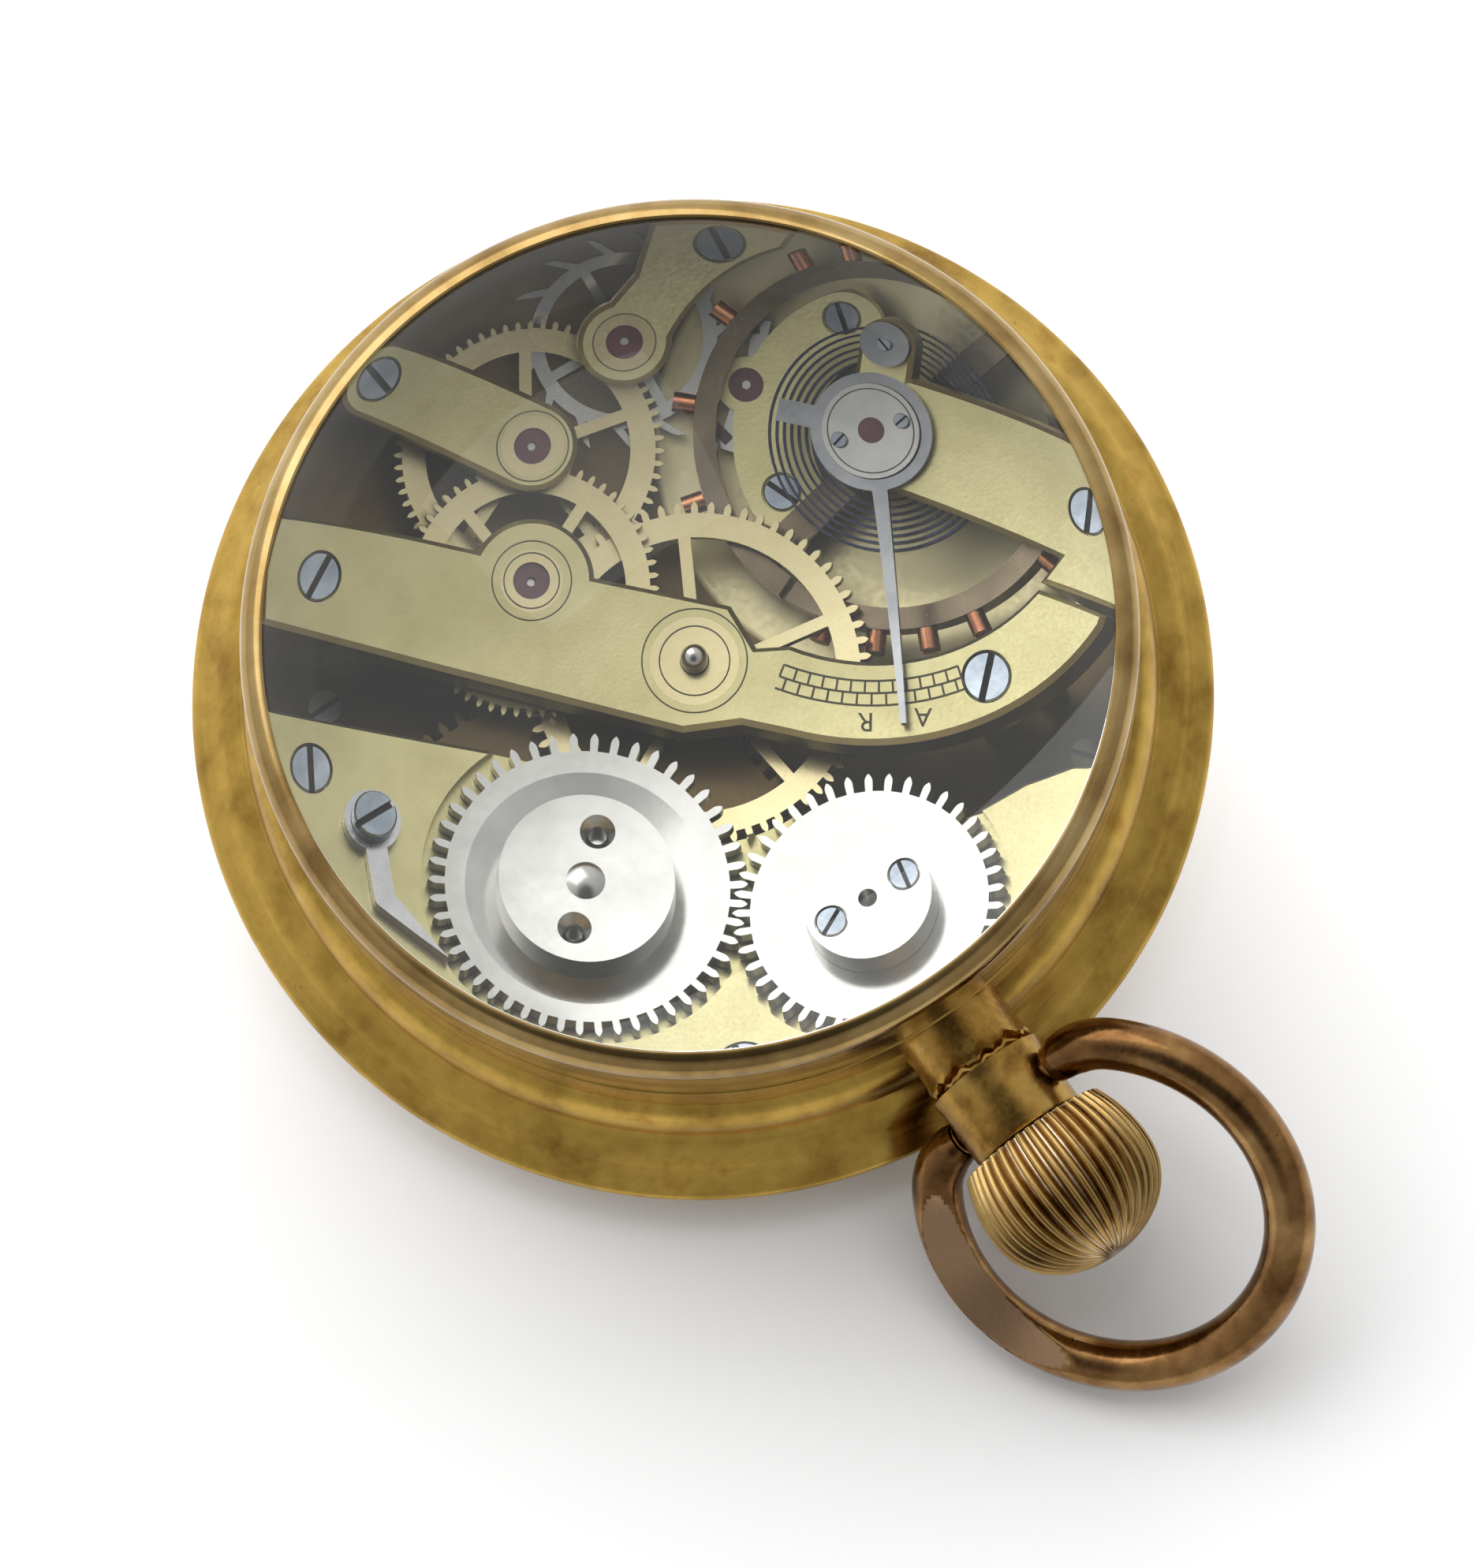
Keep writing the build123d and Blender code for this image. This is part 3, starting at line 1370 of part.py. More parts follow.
def make_balance_screws():
    start = balance_rim_outer
    end = start + rim_screw_head_length
    head = disc(rim_screw_head, start + 0.03, end)
    head -= Pos(0, 0, end - 0.2) * Box(2, screw_slot / 2, 1, align=BASE)
    whole = head + disc(rim_screw_shank, balance_rim_inner + 0.1, start + 0.1)
    return [frame * whole for frame in rim_screw_frames()]


def make_staff():
    arm_low = balance_rim_bottom + balance_arm_lift
    floor = plate_top - balance_recess_depth
    staff = disc(staff_radius, floor + leaf_margin, cock_bottom - leaf_margin, balance)
    staff += disc(pivot_radius, staff_bottom, cock_top - leaf_margin, balance)
    staff += disc(collet_radius, collet_height, collet_height + collet_thick, balance)
    shoulder = disc(staff_radius * 1.6, arm_low + balance_arm_thick, arm_low + balance_arm_thick + 0.3, balance)
    return staff + shoulder


def make_roller():
    high = roller_height + roller_thick
    table = ring(roller_radius, staff_radius, roller_height, high, balance)
    pin_place = polar(roller_pin_place, balance_direction + 180, balance)
    return table + disc(roller_pin_radius, roller_height - roller_pin_length, roller_height, pin_place)


def make_hairspring():
    edges = [edge.edge() for edge in spiral_edges(hairspring_start, hairspring_pitch, hairspring_turns, 0)]
    path = Wire(edges)
    section = Plane(origin=(hairspring_start, 0, 0), z_dir=(0, 1, 0)) * Circle(hairspring_wire)
    coil = sweep(section, path=path)
    points = [edge @ (step / 24) for edge in edges for step in range(24)]
    least = min(
        (points[i] - points[j]).length
        for i in range(len(points))
        for j in range(i + 36, len(points))
    )
    print("hairspring least gap to itself", round(least - 2 * hairspring_wire, 3))
    return Pos(balance[0], balance[1], hairspring_height) * Rot(0, 0, stud_angle) * coil


def stud_post_place():
    end = hairspring_start + hairspring_pitch * hairspring_turns
    ahead = math.degrees((stud_post_radius + bore_play) / end)
    return polar(end, stud_angle + ahead, balance)


def make_stud_holder():
    top = cock_top + stud_holder_thick
    low = hairspring_height - 2 * hairspring_wire
    holder = disc(stud_holder_radius, cock_top, top, stud)
    holder -= disc(tiny_screw_shank + bore_play, cock_top, top, stud)
    return holder + disc(stud_post_radius, low, cock_top, stud_post_place())


def make_balance_cap():
    top = cock_top + cap_thick
    cap = disc(cap_radius, cock_top, top, balance) - disc(cap_jewel_radius, cock_top, top, balance)
    for place in cap_screw_places():
        cap -= disc(tiny_screw_shank + bore_play, cock_top, top, place)
    return cap


def make_regulator():
    low = cock_top + regulator_lift
    high = low + regulator_thick
    inner = cap_radius + bore_play
    outer = inner + regulator_ring_width
    body = disc(outer, low, high, balance)
    side = regulator_root_width / 2
    tip = regulator_tip_width / 2
    pointer = ((0, -side), (regulator_length, -tip), (regulator_length, tip), (0, side))
    body += Pos(balance[0], balance[1], 0) * Rot(0, 0, regulator_angle) * slab(pointer, low, high)
    body += bar(balance, curb_angle, curb_length, curb_width, low, high)
    body -= disc(inner, low, high, balance)
    for offset in (-0.25, 0.25):
        place = polar(curb_length - 0.3, curb_angle, balance)
        pin = polar(offset, curb_angle + 90, place)
        body += disc(curb_pin_radius, low - curb_pin_length, low, pin)
    return body


# Winding wheels, core and click on top of the barrel bridge
def make_ratchet():
    low = winding_wheel_height
    facing = direction(barrel, crown_wheel)
    wheel = toothed(
        ratchet_teeth, winding_module, winding_half, winding_rise, winding_root, low, winding_top,
        barrel, facing, False,
    )
    sink = Pos(barrel[0], barrel[1], winding_top - ratchet_bevel_depth) * Cone(
        ratchet_boss_radius, ratchet_bevel_radius, ratchet_bevel_depth, align=BASE
    )
    wheel -= sink
    wheel += disc(ratchet_boss_radius, low, ratchet_boss_top, barrel)
    wheel -= disc(ratchet_square_radius, low, ratchet_boss_top, barrel)
    for side in (0, 180):
        place = polar(ratchet_hole_place, ratchet_hole_angle + side, barrel)
        depth = ratchet_hole_sink - ratchet_hole_radius
        wheel -= disc(ratchet_hole_radius, winding_top, ratchet_boss_top, place)
        wheel -= Pos(place[0], place[1], ratchet_boss_top - depth) * Cone(
            ratchet_hole_radius, ratchet_hole_sink, depth, align=BASE
        )
    return wheel


def make_crown_wheel():
    low = winding_wheel_height
    facing = direction(crown_wheel, barrel)
    wheel = toothed(
        crown_wheel_teeth, winding_module, winding_half, winding_rise, winding_root, low, winding_top,
        crown_wheel, facing, True,
    )
    return wheel - disc(core_neck_radius + bore_play, low, winding_top, crown_wheel)


def make_crown_wheel_core():
    cap_low = winding_top + bore_play
    core = disc(core_neck_radius, sink_floor, cap_low, crown_wheel)
    core += disc(core_radius, cap_low, ratchet_boss_top, crown_wheel)
    core -= disc(core_hole_radius, winding_top, ratchet_boss_top, crown_wheel)
    seat = ratchet_boss_top - small_screw_head_thick
    for place in core_screw_places():
        core -= screw_hole(place, seat, small_screw_head, small_screw_shank, sink_floor, ratchet_boss_top)
    return core


def make_click():
    low = bridge_top + bore_play
    high = low + click_thick
    elbow = (-14.4, -11.2)
    beak = polar(ratchet_tip + click_beak_gap, direction(barrel, (-12.4, -14.6)), barrel)
    hub = disc(click_hub_radius, low, high, click_place)
    hub += bar(
        click_place, direction(click_place, elbow), math.dist(click_place, elbow), click_arm_width, low, high
    )
    hub += disc(click_arm_width / 2, low, high, elbow)
    root = click_arm_width / 2
    across = direction(elbow, beak) + 90
    hub += slab((polar(root, across, elbow), polar(-root, across, elbow), beak), low, high)
    return hub - disc(bridge_screw_shank + bore_play, low, high, click_place)


# Motion work, dial and hands
def make_cannon_pinion():
    inner = centre_arbor_radius + cannon_bore_play
    low = minute_wheel_height - leaf_margin
    high = minute_wheel_height + motion_wheel_thick + leaf_margin
    pipe = disc(inner + cannon_wall, minute_hand_height, plate_bottom - leaf_margin / 2)
    leaves = toothed(
        cannon_leaves, motion_module, leaf_half, leaf_half, cannon_root, low, high, centre, stem_angle, True
    )
    return pipe + leaves - disc(inner, minute_hand_height, plate_bottom)


def make_minute_wheel():
    low = minute_wheel_height
    high = low + motion_wheel_thick
    bore = motion_post_radius + bore_play
    facing = stem_angle + 180
    wheel = toothed(
        minute_teeth, motion_module, tooth_half, tooth_rise, tooth_root, low, high, minute_place, facing, False
    )
    hour_module = 2 * minute_distance / (minute_leaves + hour_teeth)
    leaf_low = hour_wheel_height
    wheel += pinion(minute_leaves, hour_module, leaf_low, low, minute_place, facing)
    return wheel - disc(bore, leaf_low, high, minute_place)


def make_hour_wheel():
    low = hour_wheel_height
    high = low + motion_wheel_thick
    inner = centre_arbor_radius + cannon_bore_play + cannon_wall + hour_pipe_play
    hour_module = 2 * minute_distance / (minute_leaves + hour_teeth)
    wheel = toothed(
        hour_teeth, hour_module, tooth_half, tooth_rise, tooth_root, low, high, centre, stem_angle, False
    )
    wheel += disc(inner + hour_pipe_wall, hour_hand_height, low)
    return wheel - disc(inner, hour_hand_height, high)


def make_setting_wheel():
    low = minute_wheel_height
    high = low + motion_wheel_thick
    wheel = toothed(
        setting_teeth, motion_module, tooth_half, 0.9, tooth_root, low, high, setting_place,
        stem_angle + 180, minute_teeth % 2 == 0,
    )
    return wheel - disc(motion_post_radius + bore_play, low, high, setting_place)


def dial_foot_places():
    return [polar(dial_foot_place, stem_angle + 60 + index * 360 / dial_feet) for index in range(dial_feet)]


def make_dial():
    dial = disc(dial_radius, dial_bottom, rim_bottom) - disc(dial_hole_radius, dial_bottom, rim_bottom)
    dial -= disc(fourth_arbor_radius * 2, dial_bottom, rim_bottom, fourth)
    for place in dial_foot_places():
        dial += disc(dial_foot_radius, rim_bottom, rim_bottom + dial_foot_length, place)
    return dial


def tapered_hand(place, angle, length, width, tail, bore, boss, low):
    points = ((-tail, -width / 4), (0, -width / 2), (length, 0), (0, width / 2), (-tail, width / 4))
    arm = Pos(place[0], place[1], 0) * Rot(0, 0, angle) * slab(points, low, low + hand_thick)
    return arm + disc(boss, low, low + hand_thick, place) - disc(bore, low, low + hand_thick, place)


# The hands show ten past ten on a dial whose twelve is at the pendant
def make_minute_hand():
    bore = centre_arbor_radius + cannon_bore_play + cannon_wall
    angle = stem_angle + 60
    boss = bore + hand_boss_width
    return tapered_hand(centre, angle, minute_hand_length, hand_width, boss, bore, boss, minute_hand_height)


def make_hour_hand():
    bore = centre_arbor_radius + cannon_bore_play + cannon_wall + hour_pipe_play + hour_pipe_wall
    angle = stem_angle - 55
    boss = bore + hand_boss_width
    return tapered_hand(centre, angle, hour_hand_length, hand_width * 1.3, boss, bore, boss, hour_hand_height)


def make_seconds_hand():
    bore = fourth_arbor_radius
    boss = bore + hand_boss_width
    return tapered_hand(
        fourth, stem_angle + 140, seconds_hand_length, seconds_hand_width, seconds_hand_tail, bore, boss,
        seconds_hand_height,
    )


case_pieces = {
    "case_body": make_case,
    "back_bezel": make_back_bezel,
    "magnifier": make_magnifier,
    "front_bezel": make_front_bezel,
    "front_glass": make_front_glass,
    "pendant": make_pendant,
    "crown": make_crown,
    "bow": make_bow,
    "winding_stem": make_stem,
    "winding_pinion": make_winding_pinion,
    "clutch_wheel": make_clutch,
    "setting_lever": make_setting_lever,
}
movement_pieces = {
    "main_plate": make_main_plate,
    "train_bridge": make_train_bridge,
    "barrel_bridge": make_barrel_bridge,
    "fourth_cock": make_fourth_cock,
    "escape_cock": make_escape_cock,
    "pallet_bridge": make_pallet_bridge,
    "balance_cock": make_balance_cock,
    "bridge_screws": make_bridge_screws,
    "small_screws": make_small_screws,
    "tiny_screws": make_tiny_screws,
    "case_screws": make_case_screws,
    "jewel_settings": make_settings,
    "jewels": make_jewels,
    "centre_bush": make_centre_bush,
    "barrel_drum": make_barrel_drum,
    "barrel_cover": make_barrel_cover,
    "barrel_arbor": make_barrel_arbor,
    "mainspring": make_mainspring,
    "centre_wheel": make_centre_wheel,
    "centre_pinion": make_centre_pinion,
    "third_wheel": make_third_wheel,
    "third_pinion": make_third_pinion,
    "fourth_wheel": make_fourth_wheel,
    "fourth_pinion": make_fourth_pinion,
    "escape_wheel": make_escape_wheel,
    "escape_pinion": make_escape_pinion,
    "pallet_fork": make_pallet_fork,
    "pallet_stones": stones,
    "balance_wheel": make_balance_wheel,
    "balance_screws": make_balance_screws,
    "balance_staff": make_staff,
    "roller": make_roller,
    "hairspring": make_hairspring,
    "stud_holder": make_stud_holder,
    "balance_cap": make_balance_cap,
    "regulator": make_regulator,
    "ratchet_wheel": make_ratchet,
    "crown_wheel": make_crown_wheel,
    "crown_wheel_core": make_crown_wheel_core,
    "click": make_click,
    "cannon_pinion": make_cannon_pinion,
    "minute_wheel": make_minute_wheel,
    "hour_wheel": make_hour_wheel,
    "setting_wheel": make_setting_wheel,
    "dial": make_dial,
    "minute_hand": make_minute_hand,
    "hour_hand": make_hour_hand,
    "seconds_hand": make_seconds_hand,
}
on_table = Pos(0, frame_shift, 0)
in_case = on_table * Rot(0, 0, movement_turn)
for name, make in (case_pieces | movement_pieces).items():
    made = make()
    pieces = made if isinstance(made, list) else [made]
    place = in_case if name in movement_pieces else on_table
    save(name, Compound([place * solid for piece in pieces for solid in piece.solids()]))
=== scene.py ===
# %% [markdown]
# A brass desk watch, seen from its back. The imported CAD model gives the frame: every piece made here sits
# in the same place and moves with the same body. First the frame is loaded and its size is kept. The
# middle of the case is read from it as well, because most pieces are turned round that axis.
# %% Load the frame
import math
import random

import bmesh
import bpy
from mathutils import Matrix, Vector


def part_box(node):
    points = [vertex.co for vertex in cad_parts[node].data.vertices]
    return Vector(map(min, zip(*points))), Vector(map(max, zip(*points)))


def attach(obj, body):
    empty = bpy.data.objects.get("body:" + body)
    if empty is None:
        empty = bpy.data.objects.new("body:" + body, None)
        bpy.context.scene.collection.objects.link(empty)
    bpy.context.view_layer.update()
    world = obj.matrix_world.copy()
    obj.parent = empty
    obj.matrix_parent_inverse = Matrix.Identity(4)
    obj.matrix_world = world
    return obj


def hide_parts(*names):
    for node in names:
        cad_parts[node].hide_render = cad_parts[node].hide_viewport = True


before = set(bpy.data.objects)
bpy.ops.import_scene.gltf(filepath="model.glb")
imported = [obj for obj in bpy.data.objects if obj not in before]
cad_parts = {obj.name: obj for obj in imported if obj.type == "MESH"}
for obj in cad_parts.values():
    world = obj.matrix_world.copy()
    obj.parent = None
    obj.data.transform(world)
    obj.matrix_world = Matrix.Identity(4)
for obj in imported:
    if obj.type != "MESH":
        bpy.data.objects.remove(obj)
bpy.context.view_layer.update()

MM = 0.001
case_low, case_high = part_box("case_body")
AXIS = Vector(((case_low.x + case_high.x) / 2, (case_low.y + case_high.y) / 2, 0))
print("frame loaded, nodes:", len(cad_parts))

# %% [markdown]
# Small tools first. Points are written in millimetres from the middle of the case and become a mesh with
# merged seams and faces that point outwards. Each finished piece then rides on a body of the CAD model
# and, where it stands for a CAD piece, hides that one.
# %% Mesh tools
WELD = 1e-7


def add_object(name, data):
    made = bpy.data.objects.new(name, data)
    bpy.context.scene.collection.objects.link(made)
    return made


def face_outwards(mesh, weld=None):
    edit = bmesh.new()
    edit.from_mesh(mesh)
    if weld:
        bmesh.ops.remove_doubles(edit, verts=edit.verts, dist=weld)
    bmesh.ops.recalc_face_normals(edit, faces=edit.faces)
    edit.to_mesh(mesh)
    edit.free()


def mesh_piece(name, verts, faces, material, angle=35.0):
    mesh = bpy.data.meshes.new(name)
    mesh.from_pydata([tuple(Vector(v) * MM + AXIS) for v in verts], [], faces)
    face_outwards(mesh, WELD)
    mesh.polygons.foreach_set("use_smooth", [True] * len(mesh.polygons))
    mesh.set_sharp_from_angle(angle=math.radians(angle))
    mesh.materials.append(material)
    return add_object(name, mesh)


def ride_for(made, body, slot, *nodes):
    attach(made, body)
    if nodes:
        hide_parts(*nodes)
    return made


print("mesh tools ready")

# %% [markdown]
# Most of the case was turned on a lathe, so its pieces are profiles spun round an axis. The Spin tool or a
# Screw modifier could do this too. Written straight into mesh data, the edges stay exact and the size
# stays known. A shallow arc rounds a profile between two points.
# %% Turned shapes
def lathe_data(profile, segments):
    verts, faces = [], []
    count = len(profile)
    for k in range(segments):
        turn = 2 * math.pi * k / segments
        verts += [(r * math.cos(turn), r * math.sin(turn), z) for r, z in profile]
    for k in range(segments):
        a, b = k * count, (k + 1) % segments * count
        for i in range(count):
            j = (i + 1) % count
            faces.append((a + i, b + i, b + j, a + j))
    return verts, faces


def arc(start, end, sag, steps):
    chord = Vector((end[0] - start[0], end[1] - start[1]))
    side = Vector((-chord.y, chord.x)).normalized()
    points = []
    for k in range(steps + 1):
        t = k / steps
        lift = sag * 4 * t * (1 - t)
        points.append((start[0] + chord.x * t + side.x * lift, start[1] + chord.y * t + side.y * lift))
    return points


def joined(parts):
    verts, faces = [], []
    for more, sides in parts:
        base = len(verts)
        verts += more
        faces += [tuple(base + i for i in face) for face in sides]
    return verts, faces


print("turning tools ready")

# %% [markdown]
# Materials are node trees, and a tree repeats a few moves: make a node with its values, link two sockets,
# do a sum, take a vector apart, spread a value over a range. Each move gets a short function here, so that
# a finish further down reads like a recipe.
# %% Node tools
def socket(tree, kind, **values):
    node = tree.nodes.new(kind)
    for key, value in values.items():
        if hasattr(node, key):
            setattr(node, key, value)
        else:
            node.inputs[key.replace("_", " ")].default_value = value
    return node


def link(tree, start, end):
    tree.links.new(start, end)
    return end.node


def sum_node(tree, operation, first, second=None):
    node = socket(tree, "ShaderNodeMath", operation=operation)
    for slot, value in zip(node.inputs, (first, second)):
        if isinstance(value, (int, float)):
            slot.default_value = value
        elif value is not None:
            link(tree, value, slot)
    return node.outputs["Value"]


def vector_node(tree, operation, first, second=None):
    node = socket(tree, "ShaderNodeVectorMath", operation=operation)
    link(tree, first, node.inputs[0])
    if second is not None:
        node.inputs[1].default_value = second
    return node.outputs


def split_vector(tree, vector):
    parts = link(tree, vector, socket(tree, "ShaderNodeSeparateXYZ").inputs["Vector"])
    return [parts.outputs[letter] for letter in "XYZ"]


def vector_of(tree, **parts):
    node = socket(tree, "ShaderNodeCombineXYZ")
    for letter, value in parts.items():
        link(tree, value, node.inputs[letter])
    return node.outputs["Vector"]


def spread(tree, value, **limits):
    node = socket(tree, "ShaderNodeMapRange", **limits)
    link(tree, value, node.inputs["Value"])
    return node.outputs["Result"]


def noise(tree, place, scale, detail, roughness=0.5):
    node = socket(tree, "ShaderNodeTexNoise", Scale=scale, Detail=detail, Roughness=roughness)
    link(tree, place, node.inputs["Vector"])
    return node.outputs["Fac"]


def object_place(tree):
    return socket(tree, "ShaderNodeTexCoord").outputs["Object"]


print("node tools ready")

# %% [markdown]
# Colours and shaders are mixed by a share from nought to one. A ramp turns one number into several
# colours, which suits patina better than a mix of two.
# %% Mixing tools
def ramp_of(tree, value, stops):
    ramp = socket(tree, "ShaderNodeValToRGB")
    while len(ramp.color_ramp.elements) < len(stops):
        ramp.color_ramp.elements.new(0.5)
    for element, (position, colour) in zip(ramp.color_ramp.elements, stops):
        element.position = position
        element.color = (*colour, 1)
    link(tree, value, ramp.inputs["Fac"])
    return ramp.outputs["Color"]


def tinted(tree, share, colour, other):
    node = socket(tree, "ShaderNodeMixRGB", Color2=(*other, 1))
    link(tree, share, node.inputs["Fac"])
    link(tree, colour, node.inputs["Color1"])
    return node.outputs["Color"]


def mixed_shader(tree, share, first, second):
    node = socket(tree, "ShaderNodeMixShader")
    for slot, value in zip(node.inputs, (share, first, second)):
        link(tree, value, slot)
    return node.outputs["Shader"]


print("mixing tools ready")

# %% [markdown]
# Metal finishes. On the real watch each metal has a patina in soft patches, a fine grain, and here and
# there pits or worn places. A picture could be wrapped round the pieces, but noise on Object coordinates
# needs no unwrapping and stays with a piece when it moves. A coarse noise mixes the colours, a finer one
# changes the roughness and gives a slight bump. On turned pieces the fine one is drawn out round the axis.
# %% Metal maker
PIT_EDGE, BUMP_HEIGHT = 0.06, 0.00004
PATCHES = {"From_Min": 0.40, "From_Max": 0.58}
SHINE_RANGE = {"From_Min": 0.3, "From_Max": 0.7}


def spun_place(tree, place, stretch):
    centred = socket(tree, "ShaderNodeMapping", Location=tuple(-c for c in AXIS))
    link(tree, place, centred.inputs["Vector"])
    x, y, z = split_vector(tree, centred.outputs["Vector"])
    radius = vector_node(tree, "LENGTH", vector_of(tree, X=x, Y=y))["Value"]
    turn = sum_node(tree, "MULTIPLY", sum_node(tree, "ARCTAN2", y, x), stretch)
    return vector_of(tree, X=radius, Y=turn, Z=z)


def metal(name, stops, scale, rough, bump=0.1, grain=2500.0, spun=None, pits=None,
          metallic=1.0, wear_and_shade=None, patchy=False):
    material = bpy.data.materials.new(name)
    material.use_nodes = True
    tree = material.node_tree
    shader = tree.nodes["Principled BSDF"]
    shader.inputs["Metallic"].default_value = metallic
    place = object_place(tree)
    coarse = noise(tree, place, scale, 6.0, 0.6)
    fine = noise(tree, spun_place(tree, place, spun) if spun else place, grain, 3.0)
    colour = ramp_of(tree, coarse, stops)
    if pits:
        pit_scale, start, stain = pits
        spots = noise(tree, place, pit_scale, 4.0, 0.7)
        deep = spread(tree, spots, From_Min=start, From_Max=start + PIT_EDGE)
        colour = tinted(tree, deep, colour, stain)
    # A face attribute mixes in one more tone: wear on the bow, pale residue in the crown's grooves and
    # painted shade in the screws' slots.
    if wear_and_shade:
        share = socket(tree, "ShaderNodeAttribute", attribute_name="groove").outputs["Fac"]
        if patchy:
            share = sum_node(tree, "MULTIPLY", share, spread(tree, coarse, **PATCHES))
        colour = tinted(tree, share, colour, wear_and_shade)
    link(tree, colour, shader.inputs["Base Color"])
    shine = spread(tree, fine, To_Min=rough[0], To_Max=rough[1], **SHINE_RANGE)
    link(tree, shine, shader.inputs["Roughness"])
    if bump:
        relief = socket(tree, "ShaderNodeBump", Strength=bump, Distance=BUMP_HEIGHT)
        link(tree, fine, relief.inputs["Height"])
        link(tree, relief.outputs["Normal"], shader.inputs["Normal"])
    return material


print("metal maker ready")

# %% [markdown]
# The case metals. The flange is yellow brass with dark spots, the bezel is smoother and browner with pale
# specks, the pendant is rubbed pale, and the bow is a dark bronze with a lighter worn place. Colours are
# given in stops along the coarse noise; pits have a scale, a starting level and a tone.
# %% Case metals
TURNED = 0.0016

case_brass = metal(
    "aged case brass",
    [(0.28, (0.23, 0.12, 0.022)), (0.45, (0.40, 0.25, 0.05)),
     (0.60, (0.52, 0.335, 0.072)), (0.75, (0.36, 0.19, 0.034))],
    scale=240, rough=(0.18, 0.36), bump=0.18, grain=2200.0, spun=TURNED,
    pits=(700.0, 0.70, (0.05, 0.025, 0.01)),
)
bezel_brass = metal(
    "smooth bezel brass",
    [(0.3, (0.22, 0.13, 0.045)), (0.5, (0.36, 0.24, 0.09)), (0.75, (0.48, 0.35, 0.16))],
    scale=200, rough=(0.10, 0.22), bump=0.06, grain=2200.0, spun=TURNED,
    pits=(900.0, 0.72, (0.55, 0.50, 0.42)),
)
pendant_brass = metal(
    "worn pendant brass",
    [(0.3, (0.18, 0.09, 0.02)), (0.5, (0.38, 0.22, 0.05)), (0.75, (0.50, 0.33, 0.10))],
    scale=420, rough=(0.18, 0.32), bump=0.10, grain=2600.0,
    pits=(1100.0, 0.69, (0.50, 0.46, 0.38)),
)
bow_bronze = metal(
    "dark bow bronze",
    [(0.28, (0.085, 0.036, 0.013)), (0.5, (0.24, 0.125, 0.045)), (0.72, (0.43, 0.26, 0.105))],
    scale=260, rough=(0.12, 0.26), bump=0.14, grain=3000.0,
    pits=(1300.0, 0.68, (0.03, 0.015, 0.008)), wear_and_shade=(0.36, 0.225, 0.13),
)
print("case metals ready, materials:", len(bpy.data.materials))

# %% [markdown]
# The brass of the movement. Its bridges are gilt with a frosted grain, its wheels are gilt and polished,
# and the plate below is painted dark as shade under the bridges. The balance rim is bronze with copper
# screws in it. Polished pieces have no bump at all, because at this size any bump would break up their
# clean reflections.
# %% Movement brass
gilt = metal(
    "frosted gilt bridges",
    [(0.3, (0.38, 0.34, 0.17)), (0.6, (0.47, 0.425, 0.225)), (0.8, (0.42, 0.375, 0.19))],
    scale=240, rough=(0.28, 0.42), bump=0.14, grain=6000.0,
)
wheel_gilt = metal(
    "polished gilt wheels",
    [(0.3, (0.50, 0.43, 0.24)), (0.7, (0.58, 0.50, 0.29))],
    scale=300, rough=(0.24, 0.28), bump=0.0, grain=5000.0,
)
# The plate's dark tone is painted shade: the gilt plate lying in the shadow of the bridges.
plate_gilt_painted_shade = metal(
    "plate gilt with painted shade",
    [(0.3, (0.045, 0.03, 0.012)), (0.6, (0.10, 0.07, 0.03)), (0.8, (0.07, 0.048, 0.02))],
    scale=180, rough=(0.3, 0.42), bump=0.02, grain=4000.0,
)
copper = metal(
    "copper timing screws",
    [(0.3, (0.30, 0.11, 0.05)), (0.7, (0.46, 0.21, 0.11))],
    scale=700, rough=(0.2, 0.34), bump=0.02, grain=5000.0,
)
balance_metal = metal(
    "balance rim bronze",
    [(0.3, (0.09, 0.07, 0.045)), (0.7, (0.19, 0.15, 0.10))],
    scale=400, rough=(0.22, 0.28), bump=0.0, grain=5000.0,
)
print("movement brass ready, materials:", len(bpy.data.materials))

# %% [markdown]
# The steel of the movement. The winding wheels are bright, the regulator is darker, small working parts
# are only ground, screws are faintly blued by heat and springs are dark blue. The screws' slots get a
# nearly black tone from an attribute on their faces: painted shade for the inside of the slot.
# %% Movement steel
steel = metal(
    "polished steel",
    [(0.3, (0.40, 0.395, 0.38)), (0.7, (0.48, 0.475, 0.455))],
    scale=500, rough=(0.16, 0.22), bump=0.0, grain=4000.0,
)
dark_steel = metal(
    "dark polished steel",
    [(0.3, (0.24, 0.25, 0.27)), (0.7, (0.36, 0.37, 0.38))],
    scale=500, rough=(0.12, 0.2), bump=0.0, grain=4000.0,
)
plain_steel = metal(
    "ground steel",
    [(0.3, (0.36, 0.36, 0.37)), (0.7, (0.50, 0.50, 0.50))],
    scale=600, rough=(0.22, 0.36), bump=0.02, grain=5000.0,
)
# The nearly black tone given to the slots is painted shade.
screw_steel = metal(
    "faintly blued screws",
    [(0.3, (0.19, 0.22, 0.27)), (0.7, (0.36, 0.40, 0.44))],
    scale=700, rough=(0.16, 0.22), bump=0.0, grain=5000.0, wear_and_shade=(0.012, 0.011, 0.010),
)
blued = metal(
    "blued spring steel",
    [(0.3, (0.012, 0.015, 0.035)), (0.7, (0.035, 0.04, 0.07))],
    scale=800, rough=(0.2, 0.35), bump=0.01, grain=5000.0,
)
print("movement steel ready, materials:", len(bpy.data.materials))
